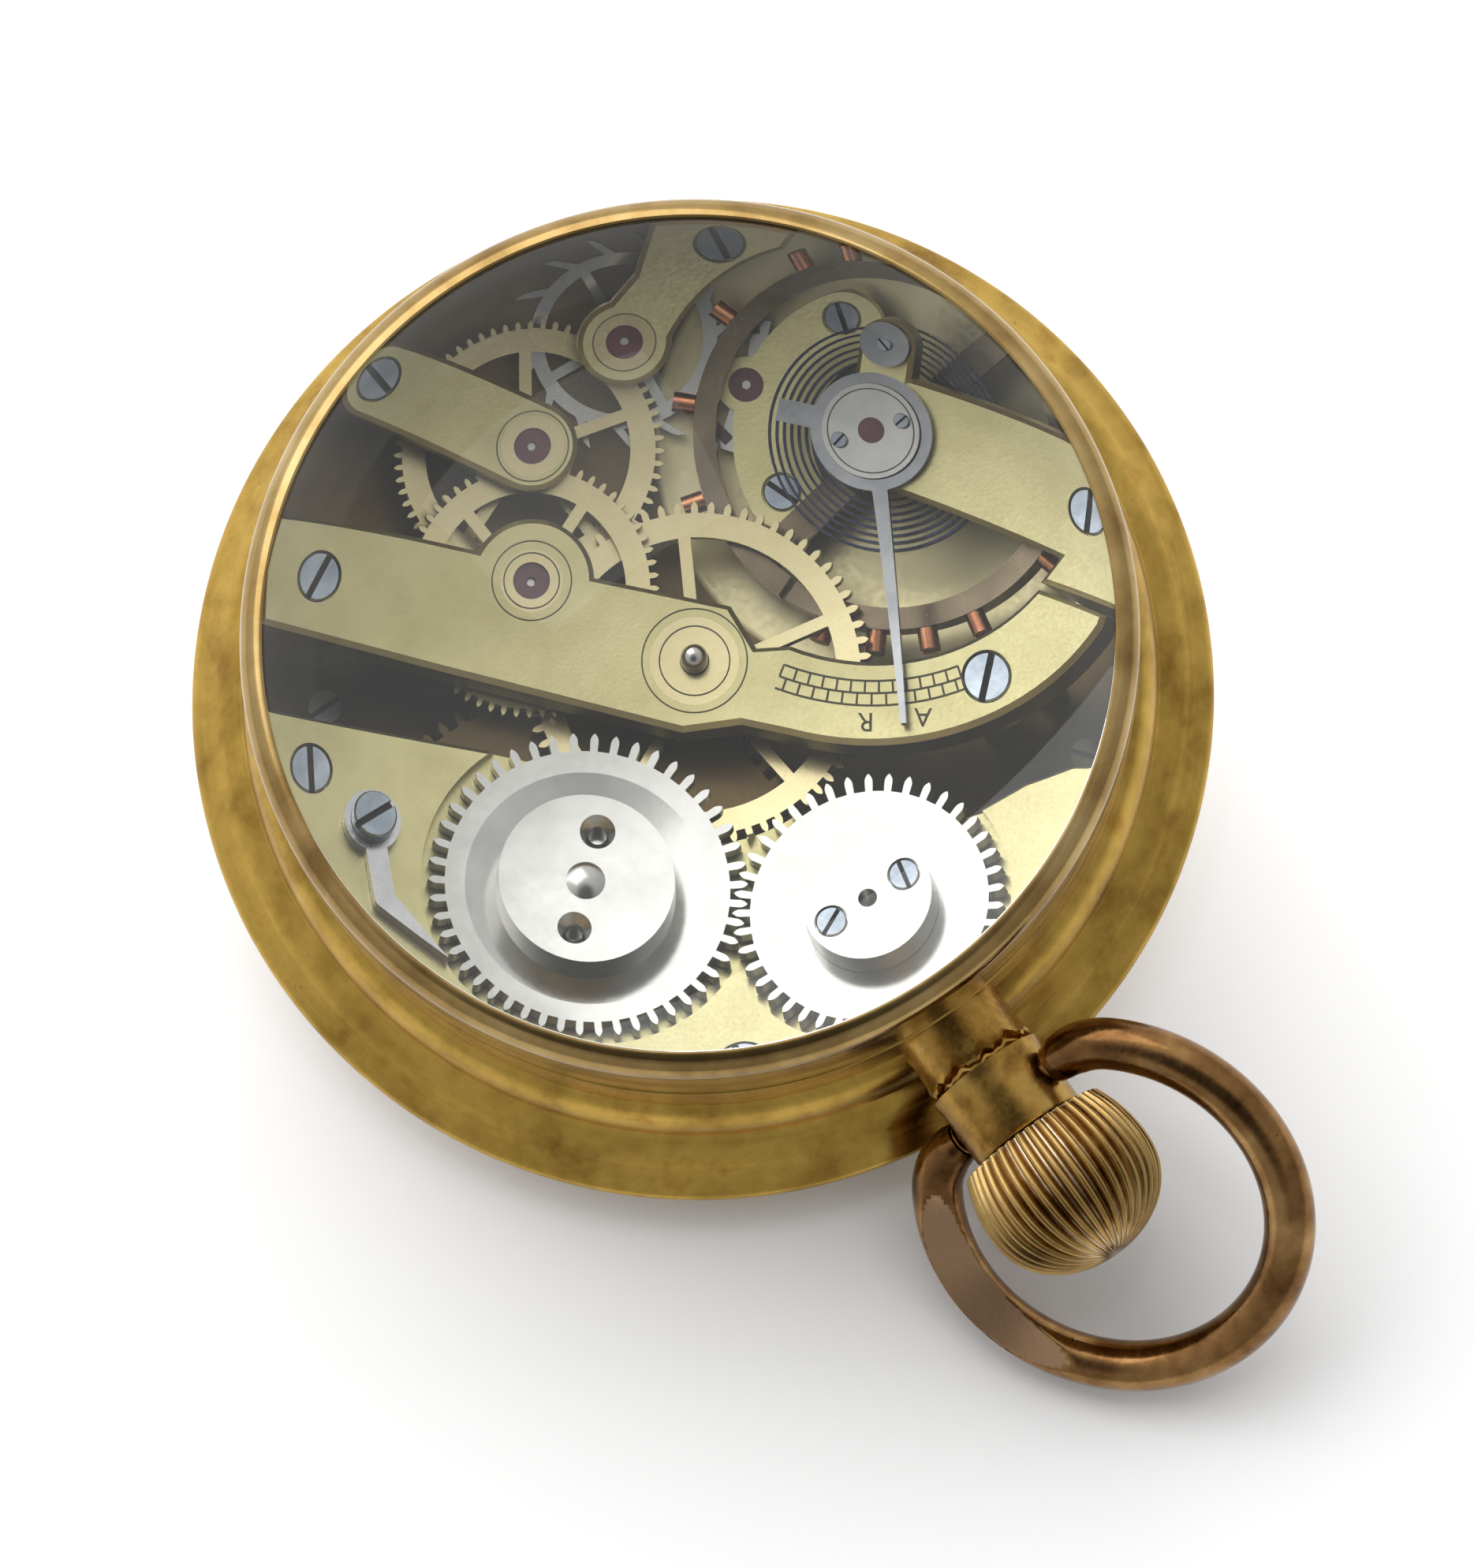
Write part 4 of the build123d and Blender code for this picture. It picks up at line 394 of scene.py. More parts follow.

# %% [markdown]
# Jewels, dial and print. These are no metals, but the same maker serves when its metallic value is nought.
# The engraving is half metal: a dark fill in a cut that still shows some brass. The same dark tone draws
# the rings round the pivots, and on the balance cap that ring is painted shade for a chamfer's edge.
# %% Jewels, dial and print
ruby = metal(
    "ruby jewels",
    [(0.3, (0.05, 0.012, 0.018)), (0.7, (0.09, 0.03, 0.04))],
    scale=900, rough=(0.05, 0.12), bump=0.01, grain=5000.0, metallic=0.0,
)
enamel = metal(
    "white dial enamel",
    [(0.3, (0.80, 0.79, 0.74)), (0.7, (0.86, 0.85, 0.81))],
    scale=120, rough=(0.12, 0.2), bump=0.01, grain=3000.0, metallic=0.0,
)
ink = metal(
    "black dial print",
    [(0.3, (0.012, 0.012, 0.013)), (0.7, (0.03, 0.03, 0.03))],
    scale=500, rough=(0.3, 0.5), bump=0.01, grain=4000.0, metallic=0.0,
)
# This dark tone fills the engraving and draws the rings round the pivots; on the balance cap that ring is
# painted shade.
engraving_and_edge_shade = metal(
    "dark engraving",
    [(0.3, (0.03, 0.025, 0.012)), (0.7, (0.07, 0.06, 0.03))],
    scale=900, rough=(0.5, 0.7), bump=0.02, grain=5000.0, metallic=0.5,
)
print("jewels, dial and print ready, materials:", len(bpy.data.materials))

# %% [markdown]
# Clear glass bends what is under it, so the dome has a real refractive index. Light that has already met
# a surface passes straight through, or the movement would sit in the dark and stay grainy. In Cycles a
# bent ray counts as glossy too, so rays inside the glass are taken out of that rule. On its outer side
# the glass mirrors only in part, and a faint noise keeps it from being perfectly clean.
# %% Glass material
BEND, TINT = 1.52, (0.985, 0.99, 0.98, 1)
DUST_SCALE, CALM_SHARE = 900.0, 0.6


def clear_glass(name):
    material = bpy.data.materials.new(name)
    material.use_nodes = True
    tree = material.node_tree
    tree.nodes.remove(tree.nodes["Principled BSDF"])
    full = socket(tree, "ShaderNodeBsdfGlass", Color=TINT, IOR=BEND)
    bare = socket(tree, "ShaderNodeBsdfRefraction", Color=TINT, IOR=BEND)
    dust = noise(tree, object_place(tree), DUST_SCALE, 4.0)
    haze = spread(tree, dust, From_Min=0.74, From_Max=0.85, To_Min=0.0, To_Max=0.04)
    for layer in (full, bare):
        link(tree, haze, layer.inputs["Roughness"])
    inner_side = socket(tree, "ShaderNodeNewGeometry").outputs["Backfacing"]
    share = spread(tree, inner_side, To_Min=CALM_SHARE, To_Max=0.0)
    calm = mixed_shader(tree, share, full.outputs["BSDF"], bare.outputs["BSDF"])
    ray = socket(tree, "ShaderNodeLightPath").outputs
    met = sum_node(tree, "MAXIMUM", ray["Is Glossy Ray"], ray["Is Diffuse Ray"])
    bounced = sum_node(tree, "SUBTRACT", met, ray["Is Transmission Ray"])
    passing = sum_node(tree, "MAXIMUM", ray["Is Shadow Ray"], bounced)
    through = socket(tree, "ShaderNodeBsdfTransparent").outputs["BSDF"]
    surface = mixed_shader(tree, passing, calm, through)
    link(tree, surface, tree.nodes["Material Output"].inputs["Surface"])
    return material


glass = clear_glass("clear glass")
print("glass ready, refractive index:", BEND)

# %% [markdown]
# Geometry Nodes make what repeats. A tree has named inputs for its sizes and ends in Realize Instances and
# Set Material, so that nothing is left as an instance. A bake then turns the result into a plain mesh and
# takes the modifier away. The tree here puts a copy of a shape on every point of a mesh and reads each
# copy's turn and size from attributes of that point. An Array modifier could not turn each copy freely.
# %% Copies on points
def new_tree(name, sockets):
    tree = bpy.data.node_groups.new(name, "GeometryNodeTree")
    tree.interface.new_socket("Geometry", in_out="INPUT", socket_type="NodeSocketGeometry")
    for label, kind in sockets:
        tree.interface.new_socket(label, in_out="INPUT", socket_type=kind)
    tree.interface.new_socket("Geometry", in_out="OUTPUT", socket_type="NodeSocketGeometry")
    return tree, socket(tree, "NodeGroupInput").outputs, socket(tree, "NodeGroupOutput").inputs


def close_tree(tree, given, done, geometry):
    real = link(tree, geometry, socket(tree, "GeometryNodeRealizeInstances").inputs["Geometry"])
    dressed = socket(tree, "GeometryNodeSetMaterial")
    link(tree, real.outputs["Geometry"], dressed.inputs["Geometry"])
    link(tree, given["Finish"], dressed.inputs["Material"])
    link(tree, dressed.outputs["Geometry"], done["Geometry"])
    return tree


def copies_tree():
    sockets = (("Shape", "NodeSocketObject"), ("Finish", "NodeSocketMaterial"))
    tree, given, done = new_tree("copies on points", sockets)
    shape = link(tree, given["Shape"], socket(tree, "GeometryNodeObjectInfo").inputs["Object"])
    turn = socket(tree, "GeometryNodeInputNamedAttribute", Name="turn").outputs["Attribute"]
    size = socket(tree, "GeometryNodeInputNamedAttribute", Name="size").outputs["Attribute"]
    spin = socket(tree, "FunctionNodeEulerToRotation")
    link(tree, vector_of(tree, Z=turn), spin.inputs["Euler"])
    put = socket(tree, "GeometryNodeInstanceOnPoints")
    link(tree, given["Geometry"], put.inputs["Points"])
    link(tree, shape.outputs["Geometry"], put.inputs["Instance"])
    link(tree, spin.outputs["Rotation"], put.inputs["Rotation"])
    link(tree, size, put.inputs["Scale"])
    return close_tree(tree, given, done, put.outputs["Instances"])


def plain_mesh(made, **options):
    graph = bpy.context.evaluated_depsgraph_get()
    return bpy.data.meshes.new_from_object(made.evaluated_get(graph), depsgraph=graph, **options)


def bake(made, tree, values):
    work = made.modifiers.new("nodes", "NODES")
    work.node_group = tree
    for item in tree.interface.items_tree:
        if item.in_out == "INPUT" and item.name in values:
            work[item.identifier] = values[item.name]
    mesh = plain_mesh(made, preserve_all_data_layers=True)
    made.modifiers.clear()
    made.data = mesh
    return made


COPIES = copies_tree()


def copies(name, shape, material, places, turns, sizes):
    mesh = bpy.data.meshes.new(name)
    mesh.from_pydata([tuple(place) for place in places], [], [])
    mesh.attributes.new("turn", "FLOAT", "POINT").data.foreach_set("value", turns)
    mesh.attributes.new("size", "FLOAT", "POINT").data.foreach_set("value", sizes)
    return bake(add_object(name, mesh), COPIES, {"Shape": shape, "Finish": material})


print("tree ready:", COPIES.name)

# %% [markdown]
# The case is three turned rings: a body with a thin flange that sweeps up into the wall, a back bezel
# over it and a front bezel below. The profiles follow the CAD sizes, as radius and height in millimetres,
# with the edges a little rounded as on worn brass. A Bevel modifier would round all edges alike, so the
# rounding is drawn into the profiles.
# %% Case body and bezels
ROUND = 320
SEAT, SEAM, SHELF, COLLAR = 3.2, 4.7, 14.42, 15.9

case_profile = [(29.8, SEAM)] + arc((30.0, 4.85), (29.85, 5.45), -0.08, 6) + [(29.6, 5.66)]
case_profile += arc((28.6, 6.55), (26.9, 8.0), -0.08, 8) + arc((26.75, 8.15), (25.4, 10.8), -0.36, 14)
case_profile += [(25.4, 12.6), (25.36, 14.3), (25.25, 14.38), (24.2, 14.4), (24.2, COLLAR)]
case_profile += [(23.2, COLLAR), (23.2, 9.0), (22.7, 9.0), (22.7, 5.7), (21.3, 5.7)]
case_profile += [(21.3, SEAT), (25.6, SEAT), (25.6, SEAM)]
case = mesh_piece("case_turned", *lathe_data(case_profile, ROUND), case_brass)
ride_for(case, "case", "case_brass", "case_body")

FLAT, RIM = 17.5, 22.1
bezel_profile = [(24.23, SHELF), (25.2, SHELF)] + arc((25.3, 14.5), (25.56, 20.2), -0.12, 12)
bezel_profile += arc((25.54, 20.5), (24.75, 22.0), -0.28, 10) + [(24.6, 22.08), (24.3, RIM), (24.18, 22.02)]
bezel_profile += [(24.18, FLAT), (22.85, FLAT), (22.85, COLLAR), (24.23, COLLAR)]
bezel = mesh_piece("back_bezel_turned", *lathe_data(bezel_profile, ROUND), bezel_brass)
ride_for(bezel, "case", "bezel_brass", "back_bezel")

FRONT_SEAT = 1.1
front_profile = [(28.6, SEAM)] + arc((28.6, 4.6), (27.3, 0.1), -0.5, 16)
front_profile += [(27.2, 0.0), (25.25, 0.0), (25.1, 0.03), (23.3, 0.66), (23.2, 0.75), (23.2, FRONT_SEAT)]
front_profile += [(24.08, FRONT_SEAT), (24.08, SEAT), (25.63, SEAT), (25.63, SEAM)]
front = mesh_piece("front_bezel_turned", *lathe_data(front_profile, ROUND), case_brass)
ride_for(front, "case", "case_brass", "front_bezel")
print("case pieces:", case.name, bezel.name, front.name)

# %% [markdown]
# The magnifying glass is a thick flat-backed dome. Its curve is a true part of a sphere, because the
# picture of the movement depends on it, so the ball's radius is worked out from the dome's radius and rise
# and the profile is made of equal steps of angle. The front glass is a flat disc with bevelled edges.
# %% Glasses
RADIUS, RISE, DOME_STEPS = 24.15, 12.0, 72
ball = (RADIUS**2 + RISE**2) / (2 * RISE)
widest = math.asin(RADIUS / ball)
dome = []
for k in range(DOME_STEPS + 1):
    lean = widest * k / DOME_STEPS
    dome.append((ball * math.sin(lean), RIM + RISE - ball + ball * math.cos(lean)))
lens = mesh_piece("magnifier_dome", *lathe_data(dome + [(RADIUS, FLAT), (0.0, FLAT)], 256), glass, 25)
ride_for(lens, "case", "glass", "magnifier")

FRONT_TOP = 2.3
disc = [(0.0, FRONT_SEAT), (23.8, FRONT_SEAT), (24.05, 1.35), (24.05, 2.05)]
disc += [(23.8, FRONT_TOP), (0.0, FRONT_TOP)]
crystal = mesh_piece("front_glass_disc", *lathe_data(disc, 200), glass, 25)
ride_for(crystal, "case", "glass", "front_glass")
print("ball radius of the dome in mm:", round(ball, 2))

# %% [markdown]
# Pendant, crown and bow lie along the stem, which points out of the side of the case. The pendant is
# turned like the case, with a collar whose edge is chipped. Chips could be sculpted by hand; three waves
# of different length round the collar do the same and stay adjustable.
# %% Pendant
STEM_HEIGHT = 11.0
STEM = Matrix(((1, 0, 0, 0), (0, 0, -1, 0), (0, 1, 0, STEM_HEIGHT), (0, 0, 0, 1)))
BORE, FOOT, HEAD = 0.86, 25.2, 33.2
CHIPS = ((0.10, 5, 0), (0.08, 11, 1), (0.05, 23, 2))
CHIP_PLACE, CHIP_REACH, CHIP_SIDEWAYS, CHIP_ALONG = 28.3, 0.55, 0.05, 1.6


def along_stem(verts):
    return [tuple(STEM @ Vector(v)) for v in verts]


def chipped(x, y, s):
    turn = math.atan2(y, x)
    rag = sum(height * math.sin(waves * turn + shift) for height, waves, shift in CHIPS)
    edge = max(0.0, 1 - abs(s - CHIP_PLACE) / CHIP_REACH)
    wider = 1 + CHIP_SIDEWAYS * rag * edge
    return (x * wider, y * wider, s + rag * edge * CHIP_ALONG)


neck = [(BORE, FOOT), (3.3, FOOT), (3.28, 27.6), (3.42, 28.15), (3.3, 28.3), (2.95, 28.45), (2.95, 28.6)]
neck += [(3.62, 28.8), (3.56, 29.1), (3.48, 29.6), (3.48, 32.9), (3.4, 33.15), (3.2, HEAD), (BORE, HEAD)]
neck_verts, neck_faces = lathe_data(neck, 160)
neck_verts = along_stem([chipped(*v) for v in neck_verts])
pendant = mesh_piece("pendant_turned", neck_verts, neck_faces, pendant_brass)
ride_for(pendant, "case", "case_brass", "pendant")
print("pendant vertices:", len(pendant.data.vertices))

# %% [markdown]
# The crown's ribs are cut round the stem. This tree takes any turned surface, measures the angle of each
# point round the stem and presses the point inwards where a wave has its valleys. It keeps the depth as an
# attribute, so that the finish can lay pale residue in the grooves.
# %% Tree of ribs
VALLEY, RESIDUE = 1.2, 3.5


def ribs_tree(axis):
    sockets = (("Ribs", "NodeSocketInt"), ("Depth", "NodeSocketFloat"), ("Finish", "NodeSocketMaterial"))
    tree, given, done = new_tree("ribs round the stem", sockets)
    position = socket(tree, "GeometryNodeInputPosition").outputs["Position"]
    x, y, z = split_vector(tree, vector_node(tree, "SUBTRACT", position, axis)["Vector"])
    half_waves = sum_node(tree, "MULTIPLY", given["Ribs"], 0.5)
    turn = sum_node(tree, "MULTIPLY", sum_node(tree, "ARCTAN2", z, x), half_waves)
    wave = sum_node(tree, "ABSOLUTE", sum_node(tree, "SINE", turn))
    groove = sum_node(tree, "SUBTRACT", 1.0, wave)
    press = sum_node(tree, "MULTIPLY", sum_node(tree, "POWER", groove, VALLEY), given["Depth"])
    share = sum_node(tree, "SUBTRACT", 1.0, press)
    new_x, new_z = (sum_node(tree, "MULTIPLY", part, share) for part in (x, z))
    pressed_place = vector_node(tree, "ADD", vector_of(tree, X=new_x, Y=y, Z=new_z), axis)["Vector"]
    keep = socket(tree, "GeometryNodeStoreNamedAttribute", Name="groove")
    link(tree, given["Geometry"], keep.inputs["Geometry"])
    link(tree, sum_node(tree, "POWER", groove, RESIDUE), keep.inputs["Value"])
    move = link(tree, keep.outputs["Geometry"], socket(tree, "GeometryNodeSetPosition").inputs["Geometry"])
    link(tree, pressed_place, move.inputs["Position"])
    return close_tree(tree, given, done, move.outputs["Geometry"])


RIBS_TREE = ribs_tree((AXIS.x, 0.0, STEM_HEIGHT * MM))
print("tree ready:", RIBS_TREE.name)

# %% [markdown]
# The crown starts as a smooth onion shape: a slow swell up to its widest ring, then a rounded top. It has
# fourteen points to each rib, enough for the tree to press clean grooves into it.
# %% Crown
RIBS, RIB_POINTS, RIB_DEPTH = 40, 14, 0.13
START, WIDEST, END = 33.4, 36.9, 41.7
SWELL, NARROWER, TOP_SHAPE, HOLLOW = 5.4, 0.8, 2.3, 0.3


def onion(s):
    if s < WIDEST:
        return SWELL - NARROWER * ((WIDEST - s) / (WIDEST - START)) ** 2
    return SWELL * math.sqrt(max(0.0, 1 - ((s - WIDEST) / (END - WIDEST)) ** TOP_SHAPE))


def crown_data():
    steps = [START + (WIDEST - START) * k / 12 for k in range(12)]
    steps += [WIDEST + (END - WIDEST) * math.sin(math.pi / 2 * k / 28) for k in range(29)]
    around = RIBS * RIB_POINTS
    verts, faces = [], []
    for s in steps:
        for k in range(around):
            turn = 2 * math.pi * k / around
            verts.append((onion(s) * math.cos(turn), onion(s) * math.sin(turn), s))
    for i in range(len(steps) - 1):
        for k in range(around):
            n = (k + 1) % around
            faces.append((i * around + k, i * around + n, (i + 1) * around + n, (i + 1) * around + k))
    verts.append((0, 0, START + HOLLOW))
    faces += [(len(verts) - 1, (k + 1) % around, k) for k in range(around)]
    return along_stem(verts), faces


crown_brass = metal(
    "fluted crown brass",
    [(0.3, (0.22, 0.125, 0.04)), (0.55, (0.40, 0.255, 0.085)), (0.8, (0.50, 0.355, 0.15))],
    scale=260, rough=(0.15, 0.30), bump=0.06, wear_and_shade=(0.75, 0.69, 0.60), patchy=True,
)
crown = mesh_piece("crown_fluted", *crown_data(), crown_brass, 60)
bake(crown, RIBS_TREE, {"Ribs": RIBS, "Depth": RIB_DEPTH, "Finish": crown_brass})
ride_for(crown, "crown_stem", "crown_brass", "crown")
print("crown ribs:", RIBS, "vertices:", len(crown.data.vertices))

# %% [markdown]
# The bow is a round wire bent into a ring. Its path is two short pivots, two tight bends and one large
# arc. One half is worked out and the other is its mirror image. A curve object with a bevel could carry
# the wire too, but here each point of it has to stay free for the worn place.
# %% Path of the bow
ROLL, SWING, PIVOTS = math.radians(34.2), math.radians(19.3), 31.0
RING, OUT, WIRE, PIVOT_END = 10.37, 8.53, 1.48, 3.85
CORNER = math.radians(45)

pivot_line = Vector((math.cos(ROLL), 0, math.sin(ROLL)))
reach_line = Vector((math.sin(ROLL) * math.sin(SWING), -math.cos(SWING), -math.cos(ROLL) * math.sin(SWING)))
up_line = pivot_line.cross(reach_line)
BOW = Matrix((
    (pivot_line.x, reach_line.x, up_line.x, 0),
    (pivot_line.y, reach_line.y, up_line.y, -PIVOTS),
    (pivot_line.z, reach_line.z, up_line.z, STEM_HEIGHT),
    (0, 0, 0, 1),
))


def bow_path():
    bend = (OUT - RING * math.sin(CORNER)) / (1 - math.sin(CORNER))
    hub_x = RING * math.cos(CORNER) - bend * math.cos(CORNER)
    hub_y = OUT - RING * math.sin(CORNER) + bend * math.sin(CORNER)
    path = [(PIVOT_END + (hub_x - PIVOT_END) * k / 4, 0.0, 0.0) for k in range(4)]
    for k in range(10):
        turn = -math.pi / 2 + (math.pi / 2 - CORNER) * k / 10
        path.append((hub_x + bend * math.cos(turn), hub_y + bend * math.sin(turn), 0))
    for k in range(61):
        turn = -CORNER + (math.pi / 2 + CORNER) * k / 60
        path.append((RING * math.cos(turn), OUT + RING * math.sin(turn), 0))
    return path + [(-x, y, z) for x, y, z in reversed(path[:-1])]


wire_path = bow_path()
print("bow path points:", len(wire_path))

# %% [markdown]
# Years of rubbing have worn one side of the bow flat. Along part of the arc the wire's points past a level
# are pressed back to it, most in the middle and less towards both ends. The pressed points are remembered,
# because the flat also has its own tone. Its faces carry that as an attribute.
# %% Bow
SIDES, PIVOT_TAPER, TAPER_STEP = 64, 0.8, 0.025
WORN, WORN_REACH, TILT, DEEP = math.radians(188), math.radians(40), math.radians(-10), 0.85
STUB = [(0.0, 2.7), (0.8, 2.7), (0.8, 3.62), (1.05, 3.66), (1.05, 3.78), (0.85, 3.82)]
STUB += [(0.85, 3.95), (0.0, 3.95)]
UP = Vector((0, 0, 1))


def on_ring(point):
    return abs(math.hypot(point.x, point.y - OUT) - RING) < 0.01


def worn_wire(path):
    verts, faces, pressed = [], [], []
    last = len(path) - 1
    for i, point in enumerate(path):
        point = Vector(point)
        ahead = (Vector(path[min(i + 1, last)]) - Vector(path[max(i - 1, 0)])).normalized()
        side = UP.cross(ahead)
        taper = min(1.0, PIVOT_TAPER + TAPER_STEP * min(i, last - i))
        away = math.atan2(point.y - OUT, point.x) % (2 * math.pi)
        off = abs(away - WORN) / WORN_REACH if on_ring(point) else 2.0
        flat = Vector((math.cos(away), math.sin(away), 0)) * math.sin(TILT) - Vector((0, 0, math.cos(TILT)))
        level = WIRE - DEEP * (1 - min(1.0, off) ** 2)
        for k in range(SIDES):
            turn = 2 * math.pi * k / SIDES
            v = point + (side * math.cos(turn) + UP * math.sin(turn)) * WIRE * taper
            over = (v - point).dot(flat) - level
            if off < 1 and over > 0:
                v -= flat * over
                pressed.append(len(verts))
            verts.append(tuple(v))
    for i in range(last):
        for k in range(SIDES):
            n = (k + 1) % SIDES
            faces.append((i * SIDES + k, i * SIDES + n, (i + 1) * SIDES + n, (i + 1) * SIDES + k))
    for end in (0, last):
        verts.append(path[end])
        faces += [(len(verts) - 1, end * SIDES + k, end * SIDES + (k + 1) % SIDES) for k in range(SIDES)]
    return verts, faces, pressed


def rounded_place(place):
    return tuple(round(c, 7) for c in place)


wire_verts, wire_faces, wire_pressed = worn_wire(wire_path)
stub_verts, stub_faces = lathe_data(STUB, 40)
stubs = [([(sign * z, y, x) for x, y, z in stub_verts], stub_faces) for sign in (1, -1)]
bow_verts, bow_faces = joined([(wire_verts, wire_faces)] + stubs)
bow = mesh_piece("bow_ring_bent", [tuple(BOW @ Vector(v)) for v in bow_verts], bow_faces, bow_bronze, 28)
flat_places = {rounded_place(BOW @ Vector(wire_verts[i]) * MM + AXIS) for i in wire_pressed}
touched = [rounded_place(v.co) in flat_places for v in bow.data.vertices]
worn = [float(all(touched[i] for i in face.vertices)) for face in bow.data.polygons]
bow.data.attributes.new("groove", "FLOAT", "FACE").data.foreach_set("value", worn)
ride_for(bow, "bow_ring", "bow_bronze", "bow")
print("bow made, worn faces:", int(sum(worn)))

# %% [markdown]
# The plan of the movement. Each pivot follows from the one before it by a distance and an angle, as it
# would be set out with a compass, and the whole plan is turned in the case. Pieces that sit round a pivot
# can then be placed without reading anything off a drawing.
# %% Plan of the movement
TURN = math.radians(-35.6)
CENTRE = (0.0, 0.0)


def in_case(x, y):
    return (x * math.cos(TURN) - y * math.sin(TURN), x * math.sin(TURN) + y * math.cos(TURN))


def from_pivot(start, distance, turn):
    return (start[0] + distance * math.cos(turn), start[1] + distance * math.sin(turn))


third = from_pivot(CENTRE, 7.8012, math.radians(153.5))
fourth = (third[0], third[1] + 5.899)
escape = from_pivot(fourth, 6.0012, math.radians(50.3))
pallet = from_pivot(escape, 5.2, math.radians(-21.4))
balance = from_pivot(pallet, 6.3, math.radians(-18.2))
print("balance at", [round(c, 3) for c in in_case(*balance)])

# %% [markdown]
# The movement keeps its CAD pieces, which are already exact, and gets its finishes here. The plate is
# painted dark as shade under the bridges. In the open recess under the balance it has a lighter tone
# instead.
# It is one piece of metal, so the recess isn't a piece of its own but a lighter tone inside a distance
# from the balance's pivot.
# %% Plate with painted shade round a lighter recess
RECESS_RADIUS, RECESS_LEVEL, RECESS_SOFT = 9.4, 9.0, 1.03
RECESS_TONE = (0.55, 0.49, 0.29)


def lighter_round(name, dark, light, centre, radius):
    material = dark.copy()
    material.name = name
    tree = material.node_tree
    shader = tree.nodes["Principled BSDF"]
    far = vector_node(tree, "DISTANCE", object_place(tree), centre)["Value"]
    inside = spread(tree, far, From_Min=radius, From_Max=radius * RECESS_SOFT, To_Min=1.0, To_Max=0.0)
    colour = shader.inputs["Base Color"].links[0].from_socket
    link(tree, tinted(tree, inside, colour, light), shader.inputs["Base Color"])
    return material


# Outside this distance the plate keeps its painted shade, and inside it the plate is lighter.
recess = Vector((*in_case(*balance), RECESS_LEVEL)) * MM + AXIS
round_plate = lighter_round("plate with bright recess", plate_gilt_painted_shade, RECESS_TONE, recess, RECESS_RADIUS * MM)
print("plate finish:", round_plate.name)

# %% [markdown]
# The other CAD pieces only change their material. Bridges are frosted gilt, wheels polished gilt, the
# winding wheels polished steel, and the hands and the mainspring are blued.
# %% Finishes for the CAD pieces
finishes = (
    (round_plate, "main_plate"),
    (gilt, "train_bridge barrel_bridge fourth_cock escape_cock pallet_bridge balance_cock barrel_cover"),
    # The barrel drum takes the same dark tone, painted shade under its bridge.
    (plate_gilt_painted_shade, "barrel_drum"),
    (wheel_gilt, "centre_wheel third_wheel fourth_wheel hour_wheel minute_wheel jewel_settings centre_bush"),
    (steel, "ratchet_wheel crown_wheel crown_wheel_core balance_cap"),
    (steel, "centre_pinion escape_wheel pallet_fork barrel_arbor"),
    (dark_steel, "regulator stud_holder"),
    (plain_steel, "click winding_stem winding_pinion clutch_wheel setting_lever setting_wheel"),
    (plain_steel, "third_pinion fourth_pinion escape_pinion cannon_pinion balance_staff roller"),
    (screw_steel, "case_screws"),
    (blued, "mainspring hour_hand minute_hand seconds_hand"),
    (balance_metal, "balance_wheel"),
    (copper, "balance_screws"),
    (ruby, "jewels pallet_stones"),
    (enamel, "dial"),
)
finished = 0
for material, names in finishes:
    for name in names.split():
        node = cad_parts[name]
        node.data.materials.clear()
        node.data.materials.append(material)
        finished += 1
print("CAD pieces finished:", finished)

# %% [markdown]
# The hairspring is a long thin ribbon wound flat, which lets the balance swing to and fro. The CAD holds a
# coarse tube for it; here it gets its full number of coils, as a ribbon that is taller than it is thick.
# Its radius grows evenly with the angle, so a short formula replaces a drawn curve.
# %% Hairspring
COILS, COIL_STEPS = 13, 72
INNER, OUTER, SPRING_LEVEL, SPRING_START = 1.12, 5.05, 11.55, math.radians(80.7)
THICK, TALL = 0.055, 0.11
SECTION = ((-THICK, -TALL), (THICK, -TALL), (THICK, TALL), (-THICK, TALL))


def ribbon_data():
    verts, faces = [], []
    last = COILS * COIL_STEPS
    for k in range(last + 1):
        turn = 2 * math.pi * k / COIL_STEPS + SPRING_START
        r = INNER + (OUTER - INNER) * k / last
        for dr, dz in SECTION:
            verts.append((*in_case(*from_pivot(balance, r + dr, turn)), SPRING_LEVEL + dz))
    for k in range(last):
        for i in range(4):
            j = (i + 1) % 4
            faces.append((k * 4 + i, k * 4 + j, (k + 1) * 4 + j, (k + 1) * 4 + i))
    faces += [(0, 3, 2, 1), tuple(4 * last + i for i in range(4))]
    return verts, faces


hairspring = mesh_piece("hairspring_ribbon", *ribbon_data(), blued, 40)
ride_for(hairspring, "case", "spring_steel", "hairspring")
print("hairspring coils:", COILS)

